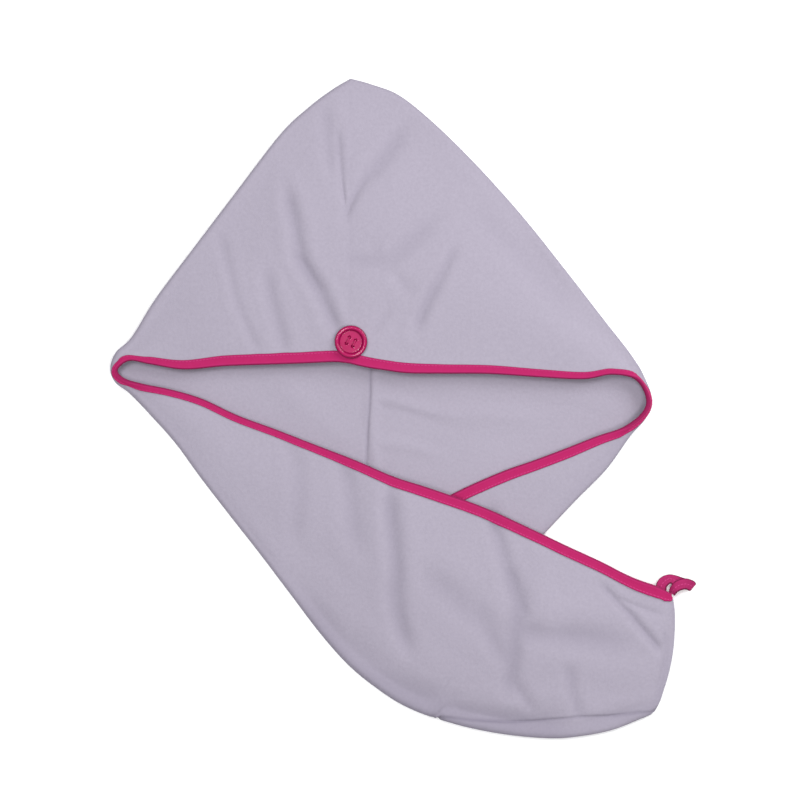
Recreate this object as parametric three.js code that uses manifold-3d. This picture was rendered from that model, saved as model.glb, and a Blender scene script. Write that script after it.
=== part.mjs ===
// A fleece hair turban, laid flat with its mouth up: a pouch for the head that runs out into a long
// tail. Two mirror-image fleece panels are sewn along one seam, the mouth is bound with a soft tape,
// a button sits over the forehead and a tape loop at the tip of the tail fastens to it.
// Millimetres, +Z up, the turban lies on z = 0.
import * as THREE from 'three';
import { mergeVertices } from 'three/addons/utils/BufferGeometryUtils.js';
import Module from 'manifold-3d';

const wasm = await Module();
wasm.setup();

// Driving sizes
const clothSpan = 452; // left corner of the mouth to the far end of the tail
const hoodHeight = 233; // left corner of the mouth up to the tip of the crown
const tailDrop = 296; // left corner of the mouth down to the lowest edge of the tail
const cloth = 2; // thickness of the fleece
const foldHeight = 9; // height of the soft roll where the cloth folds over
const mouthLoft = 14; // height of the upper edge of the mouth over the table
const seamGap = 0.3; // the two panels stand this far apart along their seam
const plyGap = 0.6; // least air between plies that lie on each other
const tapeWidth = 8.8; // width of the binding on each face of the cloth
const tapeThickness = 0.8;
const clearance = 0.3; // running gap between pieces that touch
const buttonDiameter = 26;
const buttonHeight = 4.4;
const buttonRecess = 1.8; // depth of the dish inside the rim
const holeDiameter = 2.4;
const holeSpacing = 5.4; // side of the square on which the four holes sit
const threadDiameter = 1.4;
const shankDiameter = 8;
const loopReach = 19.8; // how far the loop stands out from the tip of the tail
const loopOverhang = 0.84 * loopReach; // the loop's end past the end of the cloth
const loopWidth = 8; // width of the loop's tape
const loopThickness = 1.2;
const rowPitch = 36; // longest step from one row of the cloth to the next
const mainColumns = 14; // steps across a panel, apart from its bound edge
const boundColumns = 2; // steps across the bound edge

const halfCloth = cloth / 2;
const tapeRise = halfCloth + clearance + tapeThickness; // middle of the cloth to the tape's face
const tapeLap = tapeWidth - clearance - tapeThickness; // length of cloth inside the tape

// A table is read by its column names
function table(names, rows) {
  return { names, rows };
}

// The values of a table at a station between its rows, on smooth curves through the rows
function valuesAt(source, station, firstStation = 0) {
  const last = source.rows.length - 1;
  const place = Math.min(Math.max(station - firstStation, 0), last);
  const k = Math.min(Math.floor(place), last - 1);
  const f = place - k;
  const values = {};
  source.names.forEach((name, c) => {
    const b = source.rows[k][c];
    const d = source.rows[k + 1][c];
    const a = k > 0 ? source.rows[k - 1][c] : 2 * b - d;
    const e = k + 2 <= last ? source.rows[k + 2][c] : 2 * d - b;
    values[name] = b + f * ((d - a) / 2 + f * (a - 2.5 * b + 2 * d - e / 2
      + f * (1.5 * (b - d) + (e - a) / 2)));
  });
  return values;
}

// Stations run along the panels from the button, 0, over the corner of the mouth, about 9, past the
// point where the back seam meets the lowest fold, 22, to the tip of the tail, 34.
// x columns are shares of clothSpan from the left corner, y columns are shares of hoodHeight above
// that corner and of tailDrop below it.

// The back seam that joins the two panels
const backSeam = table(['x', 'y'], [
  [0.428, 0.924], [0.432, 0.838], [0.439, 0.718], [0.446, 0.581], [0.451, 0.426], [0.456, 0.271],
  [0.460, 0.134], [0.461, 0.058], [0.461, 0.010], [0.460, -0.027], [0.460, -0.059], [0.459, -0.095],
  [0.457, -0.138], [0.455, -0.192], [0.453, -0.251], [0.455, -0.319], [0.458, -0.397],
  [0.465, -0.489], [0.481, -0.616], [0.499, -0.716], [0.518, -0.797], [0.539, -0.857],
]);

// The left panel: where it folds, where its mouth edge lies, the height of its fold as a share of
// foldHeight, how far it swells between them and how high its edge lies as shares of mouthLoft
const leftPly = table(['foldX', 'foldY', 'lipX', 'lipY', 'roll', 'crest', 'lipUp'], [
  [0.426, 1.000, 0.4245, 0.023, 1.00, 0.12, 1.00],
  [0.393, 0.962, 0.400, 0.028, 1.00, 0.16, 1.00],
  [0.350, 0.899, 0.371, 0.026, 1.00, 0.20, 0.99],
  [0.301, 0.808, 0.336, 0.023, 1.00, 0.24, 0.97],
  [0.219, 0.601, 0.274, 0.019, 1.00, 0.25, 0.94],
  [0.141, 0.402, 0.203, 0.014, 1.00, 0.24, 0.90],
  [0.079, 0.241, 0.132, 0.007, 1.00, 0.18, 0.86],
  [0.037, 0.110, 0.074, 0.024, 1.06, 0.10, 0.85],
  [0.009, 0.056, 0.035, 0.034, 1.22, 0.03, 0.86],
  [0.000, 0.003, 0.0155, -0.001, 1.36, 0.00, 0.88],
  [0.008, -0.034, 0.024, -0.027, 1.27, 0.00, 0.84],
  [0.033, -0.064, 0.058, -0.047, 1.10, 0.00, 0.76],
  [0.074, -0.130, 0.109, -0.062, 1.00, 0.03, 0.66],
  [0.115, -0.201, 0.163, -0.086, 0.95, 0.07, 0.60],
  [0.159, -0.293, 0.223, -0.127, 0.95, 0.10, 0.57],
  [0.209, -0.392, 0.292, -0.170, 0.95, 0.13, 0.60],
  [0.263, -0.497, 0.363, -0.211, 0.95, 0.17, 0.66],
  [0.318, -0.608, 0.433, -0.249, 0.95, 0.20, 0.75],
  [0.375, -0.722, 0.499, -0.292, 0.95, 0.21, 0.85],
  [0.429, -0.812, 0.556, -0.320, 1.00, 0.21, 0.94],
  [0.492, -0.886, 0.593, -0.339, 1.00, 0.21, 0.96],
  [0.535, -0.922, 0.633, -0.360, 1.00, 0.23, 0.95],
  [0.577, -0.946, 0.676, -0.386, 1.00, 0.25, 0.91],
  [0.641, -0.973, 0.720, -0.417, 0.95, 0.28, 0.87],
  [0.713, -0.992, 0.763, -0.448, 0.95, 0.28, 0.83],
  [0.785, -1.000, 0.805, -0.479, 0.95, 0.28, 0.75],
  [0.838, -0.993, 0.842, -0.505, 0.95, 0.25, 0.64],
  [0.888, -0.978, 0.874, -0.528, 0.90, 0.22, 0.60],
  [0.934, -0.951, 0.903, -0.551, 0.88, 0.18, 0.60],
  [0.965, -0.927, 0.927, -0.568, 0.80, 0.16, 0.61],
  [0.981, -0.868, 0.947, -0.579, 0.78, 0.13, 0.62],
  [0.995, -0.786, 0.961, -0.586, 0.78, 0.09, 0.63],
  [1.000, -0.711, 0.973, -0.593, 0.80, 0.05, 0.63],
  [1.000, -0.657, 0.984, -0.603, 0.85, 0.02, 0.60],
  [0.997, -0.630, 0.993, -0.609, 0.90, 0.00, 0.56],
]);

// The right panel as far as its hidden pleat, with the same columns
const rightPly = table(['foldX', 'foldY', 'lipX', 'lipY', 'roll', 'crest', 'lipUp'], [
  [0.426, 1.000, 0.4245, 0.023, 1.00, 0.12, 1.00],
  [0.464, 0.979, 0.453, 0.010, 1.00, 0.16, 1.00],
  [0.511, 0.943, 0.487, 0.000, 1.00, 0.20, 1.00],
  [0.570, 0.852, 0.527, -0.005, 1.00, 0.24, 0.99],
  [0.646, 0.708, 0.589, -0.012, 1.00, 0.28, 0.98],
  [0.729, 0.529, 0.672, -0.018, 1.00, 0.28, 0.98],
  [0.807, 0.340, 0.761, -0.023, 1.00, 0.24, 0.98],
  [0.874, 0.172, 0.837, -0.024, 1.06, 0.16, 1.00],
  [0.920, 0.057, 0.887, -0.012, 1.20, 0.07, 1.03],
  [0.949, -0.032, 0.929, -0.027, 1.42, 0.02, 1.07],
  [0.959, -0.084, 0.9465, -0.081, 1.55, 0.00, 1.07],
  [0.949, -0.132, 0.937, -0.120, 1.38, 0.00, 0.98],
  [0.922, -0.180, 0.906, -0.157, 1.14, 0.00, 0.84],
  [0.880, -0.270, 0.861, -0.185, 0.98, 0.03, 0.64],
  [0.828, -0.351, 0.810, -0.216, 0.85, 0.04, 0.53],
  [0.768, -0.448, 0.753, -0.249, 0.65, 0.02, 0.44],
  [0.704, -0.549, 0.699, -0.278, 0.58, 0.00, 0.37],
  [0.637, -0.654, 0.641, -0.316, 0.53, 0.00, 0.33],
  [0.573, -0.751, 0.595, -0.350, 0.51, 0.00, 0.32],
  [0.550, -0.785, 0.577, -0.362, 0.51, 0.00, 0.32],
  [0.543, -0.796, 0.568, -0.368, 0.51, 0.00, 0.32],
  [0.541, -0.797, 0.563, -0.372, 0.51, 0.00, 0.32],
]);

// The tail from station 21 on: how far the seam lies in from the fold on the upper face (negative
// on the under face) as a share of tailDrop, and the hidden mouth edge of the under ply
const tailStart = 21;
const underPly = table(['seamIn', 'lipX', 'lipY', 'lipUp'], [
  [-0.065, 0.564, -0.376, 0.69],
  [0.000, 0.612, -0.400, 0.62],
  [0.020, 0.676, -0.432, 0.58],
  [0.034, 0.726, -0.465, 0.60],
  [0.050, 0.772, -0.499, 0.45],
  [0.050, 0.814, -0.527, 0.24],
  [0.037, 0.850, -0.551, 0.18],
  [0.018, 0.881, -0.573, 0.17],
  [0.002, 0.910, -0.592, 0.17],
  [0.000, 0.933, -0.605, 0.17],
  [0.000, 0.950, -0.614, 0.17],
  [0.000, 0.966, -0.620, 0.17],
  [0.000, 0.981, -0.622, 0.17],
  [0.000, 0.992, -0.620, 0.17],
]);

// Soft valleys pressed into the upper ply: from, to, half width as a share of hoodHeight and depth
// as a share of mouthLoft
const valleys = table(['fromX', 'fromY', 'toX', 'toY', 'halfWidth', 'depth'], [
  [0.314, 0.55, 0.334, 0.38, 0.045, 0.13],
  [0.334, 0.38, 0.382, 0.14, 0.045, 0.16],
  [0.216, 0.40, 0.226, 0.30, 0.040, 0.08],
  [0.286, 0.29, 0.300, 0.10, 0.045, 0.08],
  [0.419, 0.71, 0.419, 0.54, 0.030, 0.08],
  [0.432, 0.58, 0.497, 0.72, 0.035, 0.09],
  [0.488, 0.40, 0.540, 0.47, 0.040, 0.08],
  [0.607, 0.37, 0.554, 0.20, 0.050, 0.12],
  [0.554, 0.20, 0.536, 0.15, 0.050, 0.10],
  [0.662, 0.60, 0.697, 0.45, 0.045, 0.08],
  [0.499, -0.46, 0.513, -0.73, 0.060, 0.12],
  [0.680, -0.49, 0.724, -0.59, 0.050, 0.12],
  [0.724, -0.59, 0.717, -0.74, 0.050, 0.12],
  [0.717, -0.74, 0.749, -0.92, 0.045, 0.11],
  [0.781, -0.70, 0.857, -0.75, 0.050, 0.08],
  [0.811, -0.84, 0.839, -0.94, 0.030, 0.13],
  [0.888, -0.62, 0.956, -0.75, 0.035, 0.10],
]);

// Small vector helpers
const mix = (a, b, f) => a + (b - a) * f;
const ease = (f) => {
  const c = Math.min(Math.max(f, 0), 1);
  return c * c * (3 - 2 * c);
};
const plan = (x, y) => new THREE.Vector2(
  x * clothSpan - (clothSpan + loopOverhang) / 2,
  y * (y >= 0 ? hoodHeight : tailDrop) - (hoodHeight - tailDrop) / 2,
);

// Where a ply's fold and its mouth edge lie at a station
function foldAt(source, station) {
  const spot = valuesAt(source, station);
  return plan(spot.foldX, spot.foldY);
}
function lipAt(source, station, firstStation = 0) {
  const spot = valuesAt(source, station, firstStation);
  return plan(spot.lipX, spot.lipY);
}

// The line along which the right panel first folds over, from the visible outline to its end
const foldOverStation = 15;
const foldOverStart = foldAt(rightPly, foldOverStation);
const foldOverEnd = foldAt(rightPly, tailStart);
// The lift by the plies that lie below, and the run in which the cloth climbs onto them
const pileUp = valuesAt(rightPly, foldOverStation + 1).roll * foldHeight + plyGap;
const climbRun = 12;

// How far the under ply is lifted where it lies on the folded part of the right panel
function pileLift(point) {
  const along = foldOverEnd.clone().sub(foldOverStart).normalize();
  const from = point.clone().sub(foldOverEnd);
  const inside = from.x * along.y - from.y * along.x;
  return pileUp * ease(1 - Math.max(-inside, 0) / climbRun) * (inside > -climbRun ? 1 : 0);
}

// How deep the valleys of the upper ply are at a point
function valleyDepth(point) {
  let depth = 0;
  for (const [fromX, fromY, toX, toY, halfWidth, deep] of valleys.rows) {
    const from = plan(fromX, fromY);
    const run = plan(toX, toY).sub(from);
    const f = Math.min(Math.max(point.clone().sub(from).dot(run) / run.lengthSq(), 0), 1);
    const away = point.distanceTo(from.addScaledVector(run, f)) / (halfWidth * hoodHeight);
    depth = Math.max(depth, deep * mouthLoft * Math.exp(-away * away));
  }
  return depth;
}

const lipRun = 2 * tapeWidth; // the run in which a ply rises or falls to its mouth edge
const roundShare = 0.55; // most of a ply's reach that the round of its fold may take

// One cross-section of the cloth: the lower ply, a rounded fold and the upper ply. Distance q along
// it is 0 at the fold, positive on the upper ply and negative on the lower one.
function crossSection(ply, lowerEnd, lowerLip) {
  const fold = plan(ply.foldX, ply.foldY);
  const lip = plan(ply.lipX, ply.lipY);
  const upward = lip.clone().sub(fold);
  const downward = lowerEnd.clone().sub(fold);
  const reach = upward.length();
  upward.normalize();
  downward.normalize();
  const inward = upward.clone().add(downward).normalize();
  fold.addScaledVector(inward, halfCloth);
  const top = ply.roll * foldHeight - halfCloth;
  const lowerReach = fold.distanceTo(lowerEnd);
  const base = lowerLip === undefined ? halfCloth
    : mix(halfCloth, lowerLip, ease(1 - (lowerReach - tapeWidth) / lipRun));
  const rise = (top - base) / 2;
  const depth = Math.min(rise, roundShare * reach);
  const quarter = (depth * Math.PI) / 2;
  const upperStart = fold.clone().addScaledVector(upward, depth);
  const lowerStart = fold.clone().addScaledVector(downward, depth);
  const upperLength = upperStart.distanceTo(lip);
  const lowerLength = lowerStart.distanceTo(lowerEnd);
  const lipUp = ply.lipUp * mouthLoft;
  const crest = ply.crest * mouthLoft;
  const pointAt = (q) => {
    if (Math.abs(q) <= quarter) {
      const angle = q / depth;
      const turn = (1 + Math.sin(angle)) / 2;
      const way = downward.clone().lerp(upward, turn).normalize();
      const spot = fold.clone().addScaledVector(way, depth * (1 - Math.cos(angle)));
      return new THREE.Vector3(spot.x, spot.y, base + rise * (1 + Math.sin(angle)));
    }
    if (q > 0) {
      const f = (q - quarter) / upperLength;
      const spot = upperStart.clone().lerp(lip, f);
      const swell = Math.sin(Math.PI * Math.min(f, 1)) ** 2;
      const dip = valleyDepth(spot) * ease((q - quarter) / foldHeight)
        * ease((upperLength + quarter - q) / lipRun);
      return new THREE.Vector3(spot.x, spot.y, mix(top, lipUp, ease(f)) + crest * swell - dip);
    }
    const f = (-q - quarter) / lowerLength;
    const spot = lowerStart.clone().lerp(lowerEnd, f);
    if (lowerLip === undefined) return new THREE.Vector3(spot.x, spot.y, halfCloth);
    const nearLip = ease(1 - ((1 - f) * lowerLength - tapeWidth) / lipRun);
    const laid = base + pileLift(spot);
    return new THREE.Vector3(spot.x, spot.y, mix(laid, lowerLip, nearLip));
  };
  // The distance along the section of a point that lies this far in from the fold, seen from above
  const distanceIn = (a) => Math.sign(a) * (Math.abs(a) <= depth
    ? depth * Math.acos(1 - Math.abs(a) / depth)
    : quarter + Math.abs(a) - depth);
  return {
    pointAt, distanceIn, quarter,
    upperEnd: quarter + upperLength,
    lowerEnd: -(quarter + lowerLength),
  };
}

const flatWeight = 0.35; // how closely the columns lie on the flat lower ply, 1 on the upper one
const bendWeight = 8; // and how much more closely in the round of the fold
const bendSpread = 1.3; // reach of those closer columns, as a share of a quarter round

// Distances along a section from its seam to its mouth edge: even steps, closer where it bends, and
// the last ones across the width that the binding covers
function columnDistances(section, from, to, lap) {
  const way = Math.sign(to - from);
  const edge = to - way * Math.min(lap, 0.5 * Math.abs(to - from));
  const samples = 200;
  const total = [0];
  for (let k = 1; k <= samples; k += 1) {
    const q = mix(from, edge, (k - 0.5) / samples);
    const bend = q / (bendSpread * section.quarter);
    const weight = (q < 0 && way > 0 ? flatWeight : 1) + bendWeight * Math.exp(-bend * bend);
    total.push(total[k - 1] + weight);
  }
  const distances = [];
  let k = 0;
  for (let c = 0; c < mainColumns; c += 1) {
    const wanted = (total[samples] * c) / mainColumns;
    while (total[k + 1] < wanted) k += 1;
    const f = k + (wanted - total[k]) / (total[k + 1] - total[k]);
    distances.push(mix(from, edge, f / samples));
  }
  for (let c = 0; c <= boundColumns; c += 1) distances.push(mix(edge, to, c / boundColumns));
  return distances;
}

const leastSlant = 0.7; // a section meets the mouth edge at no sharper slant than this sine

// The cloth inside the binding, measured along a section that meets the mouth edge at a slant
function slantedLap(lipBefore, lipAfter, lip, fold) {
  const along = lipAfter.clone().sub(lipBefore).normalize();
  const across = fold.clone().sub(lip).normalize();
  const slant = Math.abs(along.x * across.y - along.y * across.x);
  return tapeLap / Math.max(slant, leastSlant);
}

const nearby = 0.1; // step between stations at which the run of an edge is measured

// A row of a panel at a station, as points from its seam to its mouth edge
function rowPoints(station, side) {
  const inTail = station >= tailStart;
  const under = inTail ? valuesAt(underPly, station, tailStart) : null;
  const source = side === 'left' || inTail ? leftPly : rightPly;
  const ply = valuesAt(source, station);
  const seam = valuesAt(backSeam, Math.min(station, tailStart));
  const lowerEnd = inTail ? plan(under.lipX, under.lipY) : plan(seam.x, seam.y);
  const lowerLip = inTail ? under.lipUp * mouthLoft : undefined;
  const section = crossSection(ply, lowerEnd, lowerLip);
  const seamAt = inTail ? section.distanceIn(under.seamIn * tailDrop) : section.lowerEnd;
  const onUnder = inTail && side === 'right';
  const edgeTable = onUnder ? underPly : source;
  const first = onUnder ? tailStart : 0;
  const lip = onUnder ? lowerEnd : plan(ply.lipX, ply.lipY);
  const lap = slantedLap(lipAt(edgeTable, station - nearby, first),
    lipAt(edgeTable, station + nearby, first), lip, plan(ply.foldX, ply.foldY));
  const edgeAt = onUnder ? section.lowerEnd : section.upperEnd;
  return columnDistances(section, seamAt, edgeAt, lap).map(section.pointAt);
}

// Stations of the rows: one at each table row, and more where the outline runs on for longer
const pleatStation = tailStart - 0.07; // the last row before the hidden pleat
const tipStation = leftPly.rows.length - 1;
const crossingCare = 6; // the rows are this much closer where the seam crosses the fold
const sharpestTurn = Math.PI / 5; // largest turn of the mouth edge from one row to the next

// The angle by which the mouth edge turns between two table rows
function lipTurn(source, k) {
  if (k + 1 >= source.rows.length) return 0;
  const heading = (station) => lipAt(source, station + nearby)
    .sub(lipAt(source, station - nearby)).angle();
  const turn = Math.abs(heading(k + 1) - heading(k));
  return Math.min(turn, 2 * Math.PI - turn);
}

function rowStations() {
  const stations = [];
  const outlineStep = (source, k) => foldAt(source, k).distanceTo(foldAt(source, k + 1));
  const seamIn = (k) => valuesAt(underPly, k, tailStart).seamIn * tailDrop;
  for (let k = 0; k < tipStation; k += 1) {
    let run = outlineStep(leftPly, k);
    if (k < tailStart) run = Math.max(run, outlineStep(rightPly, k));
    else run = Math.max(run, crossingCare * Math.abs(seamIn(k + 1) - seamIn(k)));
    const turn = Math.max(lipTurn(leftPly, k), lipTurn(rightPly, k));
    const steps = Math.max(Math.ceil(run / rowPitch), Math.ceil(turn / sharpestTurn), 1);
    for (let c = 0; c < steps; c += 1) stations.push(k + c / steps);
  }
  stations.push(tipStation);
  stations.splice(stations.indexOf(tailStart), 0, pleatStation);
  return stations;
}
const stations = rowStations();
const pleatRow = stations.indexOf(pleatStation);

// The left panel's rows, and the right panel's with the round of the hidden pleat between the ply
// that runs to it and the ply that runs on from it
const leftRows = stations.map((station) => rowPoints(station, 'left'));
const rightRows = stations.map((station) => rowPoints(station, 'right'));
const pleatSteps = 4;
const pleatRound = [];
for (let c = 1; c < pleatSteps; c += 1) {
  const angle = (Math.PI * c) / pleatSteps;
  pleatRound.push(rightRows[pleatRow].map((low, j) => {
    const high = rightRows[pleatRow + 1][j];
    const point = low.clone().lerp(high, (1 - Math.cos(angle)) / 2);
    point.x -= (Math.abs(high.z - low.z) / 2) * Math.sin(angle);
    return point;
  }));
}
rightRows.splice(pleatRow + 1, 0, ...pleatRound);
// The right panel's row for each row of the left one
const pairedRow = (i) => (i <= pleatRow ? i : i + pleatRound.length);

// Unit normals of a grid of points, on the outer face of the cloth
function gridNormals(rows, facing) {
  return rows.map((row, i) => row.map((point, j) => {
    const along = rows[Math.min(i + 1, rows.length - 1)][j].clone()
      .sub(rows[Math.max(i - 1, 0)][j]);
    const across = row[Math.min(j + 1, row.length - 1)].clone().sub(row[Math.max(j - 1, 0)]);
    return along.cross(across).multiplyScalar(facing).normalize();
  }));
}
const leftNormals = gridNormals(leftRows, 1);
const rightNormals = gridNormals(rightRows, -1);

// Both panels share their normals along the seam, so that their edges face each other squarely
function shareNormals(i, j) {
  const own = leftNormals[i][j];
  const other = rightNormals[pairedRow(i)][j];
  own.add(other).normalize();
  other.copy(own);
}
leftRows[0].forEach((point, j) => shareNormals(0, j));
leftRows.forEach((row, i) => {
  if (i > 0) shareNormals(i, 0);
});

// The panels' edges stand back from the seam line by half the seam gap
function standBack(rows, normals, facing) {
  const moved = rows.map((row) => row.map((point) => point.clone()));
  const last = rows[0].length - 1;
  const line = [];
  for (let j = last; j >= 0; j -= 1) line.push([0, j]);
  for (let i = 1; i < rows.length; i += 1) line.push([i, 0]);
  line.forEach(([i, j], k) => {
    const [i0, j0] = line[Math.max(k - 1, 0)];
    const [i1, j1] = line[Math.min(k + 1, line.length - 1)];
    const along = rows[i1][j1].clone().sub(rows[i0][j0]).normalize();
    const side = along.cross(normals[i][j]).normalize();
    moved[i][j].addScaledVector(side, (facing * seamGap) / 2);
  });
  return moved;
}

// A closed geometry from corners and triangles, turned so that its faces point out
function solid(corners, triangles) {
  let volume = 0;
  for (const [a, b, c] of triangles) {
    volume += corners[a].dot(corners[b].clone().cross(corners[c]));
  }
  const index = triangles.flatMap(([a, b, c]) => (volume > 0 ? [a, b, c] : [a, c, b]));
  const geometry = new THREE.BufferGeometry();
  geometry.setAttribute('position', new THREE.Float32BufferAttribute(
    corners.flatMap((p) => [p.x, p.y, p.z]), 3));
  geometry.setIndex(index);
  geometry.computeVertexNormals();
  return geometry;
}

// A panel: its grid thickened to both sides, with walls round its four edges
function panelGeometry(rows, normals) {
  const count = rows.length;
  const width = rows[0].length;
  const corners = [];
  for (const way of [1, -1]) {
    rows.forEach((row, i) => row.forEach((point, j) => {
      const corner = point.clone().addScaledVector(normals[i][j], way * halfCloth);
      corner.z = Math.max(corner.z, 0);
      corners.push(corner);
    }));
  }
  const upper = (i, j) => i * width + j;
  const lower = (i, j) => count * width + i * width + j;
  const triangles = [];
  const quad = (a, b, c, d) => triangles.push([a, b, c], [a, c, d]);
  for (let i = 0; i + 1 < count; i += 1) {
    for (let j = 0; j + 1 < width; j += 1) {
      quad(upper(i, j), upper(i + 1, j), upper(i + 1, j + 1), upper(i, j + 1));
      quad(lower(i, j), lower(i, j + 1), lower(i + 1, j + 1), lower(i + 1, j));
    }
    quad(upper(i, 0), lower(i, 0), lower(i + 1, 0), upper(i + 1, 0));
    const e = width - 1;
    quad(upper(i, e), upper(i + 1, e), lower(i + 1, e), lower(i, e));
  }
  for (let j = 0; j + 1 < width; j += 1) {
    quad(upper(0, j), upper(0, j + 1), lower(0, j + 1), lower(0, j));
    const e = count - 1;
    quad(upper(e, j), lower(e, j), lower(e, j + 1), upper(e, j + 1));
  }
  return solid(corners, triangles);
}

// A closed tube through a list of equal outlines, capped at both ends. Each face between two outlines
// is split along its first diagonal, or along its second where crossed says so.
function sweptGeometry(outlines, crossed = () => false) {
  const corners = outlines.flat();
  const around = outlines[0].length;
  const triangles = [];
  for (let i = 0; i + 1 < outlines.length; i += 1) {
    for (let k = 0; k < around; k += 1) {
      const a = i * around + k;
      const b = i * around + ((k + 1) % around);
      if (crossed(i, k)) triangles.push([a, b, a + around], [b, b + around, a + around]);
      else triangles.push([a, b, b + around], [a, b + around, a + around]);
    }
  }
  const faces = capTriangles(outlines[0]);
  const end = (outlines.length - 1) * around;
  for (const [a, b, c] of faces) {
    triangles.push([a, c, b], [end + a, end + b, end + c]);
  }
  return solid(corners, triangles);
}

// Triangles that fill a flat outline, seen along its own normal
function capTriangles(outline) {
  const normal = new THREE.Vector3();
  outline.forEach((point, k) => {
    const next = outline[(k + 1) % outline.length];
    normal.add(point.clone().cross(next));
  });
  normal.normalize();
  const sideways = outline[1].clone().sub(outline[0]).projectOnPlane(normal).normalize();
  const upright = normal.clone().cross(sideways);
  const flat = outline.map((point) => new THREE.Vector2(point.dot(sideways), point.dot(upright)));
  return THREE.ShapeUtils.triangulateShape(flat, []);
}

// The binding's outline at one row: a folded tape over the edge of the cloth, with a small gap
function tapeOutline(row, normals, before, after) {
  const last = row.length - 1;
  const lip = row[last];
  const normal = normals[last];
  const along = after.clone().sub(before).normalize();
  const outward = along.clone().cross(normal).normalize();
  if (outward.dot(lip.clone().sub(row[last - 1])) < 0) outward.negate();
  const gap = halfCloth + clearance;
  const covered = [];
  for (let c = boundColumns; c >= 0; c -= 1) covered.push(last - c);
  const onFace = (rise) => covered.map((j) => row[j].clone().addScaledVector(normals[j], rise));
  const beyond = (out, rise) => lip.clone().addScaledVector(outward, out)
    .addScaledVector(normal, rise);
  const nose = clearance + tapeThickness;
  const noseHalf = 0.6 * tapeRise;
  return [
    ...onFace(tapeRise),
    beyond(nose, noseHalf),
    beyond(nose, -noseHalf),
    ...onFace(-tapeRise).reverse(),
    ...onFace(-gap).slice(0, boundColumns),
    beyond(clearance, -gap),
    beyond(clearance, gap),
    ...onFace(gap).slice(0, boundColumns).reverse(),
  ];
}

function bindingGeometry() {
  const rows = [...leftRows.slice().reverse(), ...rightRows.slice(1)];
  const normals = [...leftNormals.slice().reverse(), ...rightNormals.slice(1)];
  const lip = rows.map((row) => row[row.length - 1]);
  const outlines = rows.map((row, i) => tapeOutline(row, normals[i],
    lip[Math.max(i - 1, 0)], lip[Math.min(i + 1, rows.length - 1)]));
  // The faces split as those of the cloth under them do. The outline's sides begin with one for
  // each bound column on the upper face, three round the nose and those on the lower face.
  const upperSides = [0, 1];
  const insideSides = [2 * boundColumns + 4, 2 * boundColumns + 5];
  const outwardSides = [...upperSides, ...insideSides];
  const onLeft = (i) => i < leftRows.length - 1;
  return sweptGeometry(outlines, (i, k) => outwardSides.includes(k) === onLeft(i));
}

// Exchange with the library that joins and cuts solids
function toManifold(geometry) {
  const bare = geometry.clone();
  bare.deleteAttribute('normal');
  bare.deleteAttribute('uv');
  const merged = mergeVertices(bare, 1e-4);
  return new wasm.Manifold(new wasm.Mesh({
    numProp: 3,
    vertProperties: new Float32Array(merged.attributes.position.array),
    triVerts: new Uint32Array(merged.index.array),
  }));
}
function fromManifold(manifold) {
  const mesh = manifold.getMesh();
  const geometry = new THREE.BufferGeometry();
  geometry.setAttribute('position', new THREE.BufferAttribute(mesh.vertProperties, 3));
  geometry.setIndex(new THREE.BufferAttribute(mesh.triVerts, 1));
  geometry.computeVertexNormals();
  return geometry;
}
function upright(geometry) {
  return geometry.rotateX(Math.PI / 2);
}

// The button lies over the middle of the mouth's upper edge, on the binding
const buttonTurn = THREE.MathUtils.degToRad(-25);
const buttonSpot = plan(0.427, 0.0924);
const buttonFloor = mouthLoft + tapeRise + clearance;
const recessFloor = buttonHeight - buttonRecess;
const holeSpots = [[1, 1], [-1, 1], [-1, -1], [1, -1]].map(([a, b]) => new THREE.Vector2(
  (a * holeSpacing) / 2, (b * holeSpacing) / 2).rotateAround(new THREE.Vector2(), buttonTurn));

function buttonGeometry() {
  const radius = buttonDiameter / 2;
  const profile = [
    [0, 0], [0.88 * radius, 0], [0.97 * radius, 0.2 * buttonHeight], [radius, 0.52 * buttonHeight],
    [0.955 * radius, 0.86 * buttonHeight], [0.86 * radius, buttonHeight],
    [0.765 * radius, 0.9 * buttonHeight], [0.71 * radius, recessFloor], [0, recessFloor],
  ].map(([r, z]) => new THREE.Vector2(r, z));
  let button = toManifold(new THREE.LatheGeometry(profile, 32).rotateX(Math.PI / 2));
  for (const spot of holeSpots) {
    const hole = upright(new THREE.CylinderGeometry(holeDiameter / 2, holeDiameter / 2,
      2 * buttonHeight, 10));
    hole.translate(spot.x, spot.y, 0);
    button = button.subtract(toManifold(hole));
  }
  return fromManifold(button);
}

// The sewing thread: a short shank under the button, and two stitches through its holes
function threadGeometry() {
  const radius = threadDiameter / 2;
  const shankTop = -clearance;
  const shankFoot = mouthLoft + 2 * clearance + halfCloth - buttonFloor;
  const stitchTop = recessFloor + clearance + threadDiameter;
  const shank = upright(new THREE.CylinderGeometry(shankDiameter / 2, shankDiameter / 2,
    shankTop - shankFoot, 12)).translate(0, 0, (shankTop + shankFoot) / 2);
  let thread = toManifold(shank);
  const postFoot = (shankTop + shankFoot) / 2;
  for (const spot of holeSpots) {
    const post = upright(new THREE.CylinderGeometry(radius, radius, stitchTop - postFoot, 8))
      .translate(spot.x, spot.y, (stitchTop + postFoot) / 2);
    thread = thread.add(toManifold(post));
  }
  for (const [a, b] of [[0, 3], [1, 2]]) {
    const stitch = new THREE.BoxGeometry(holeSpacing, threadDiameter, threadDiameter)
      .rotateZ(holeSpots[a].clone().sub(holeSpots[b]).angle())
      .translate((holeSpots[a].x + holeSpots[b].x) / 2, (holeSpots[a].y + holeSpots[b].y) / 2,
        stitchTop - radius);
    thread = thread.add(toManifold(stitch));
  }
  return fromManifold(thread);
}

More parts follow.
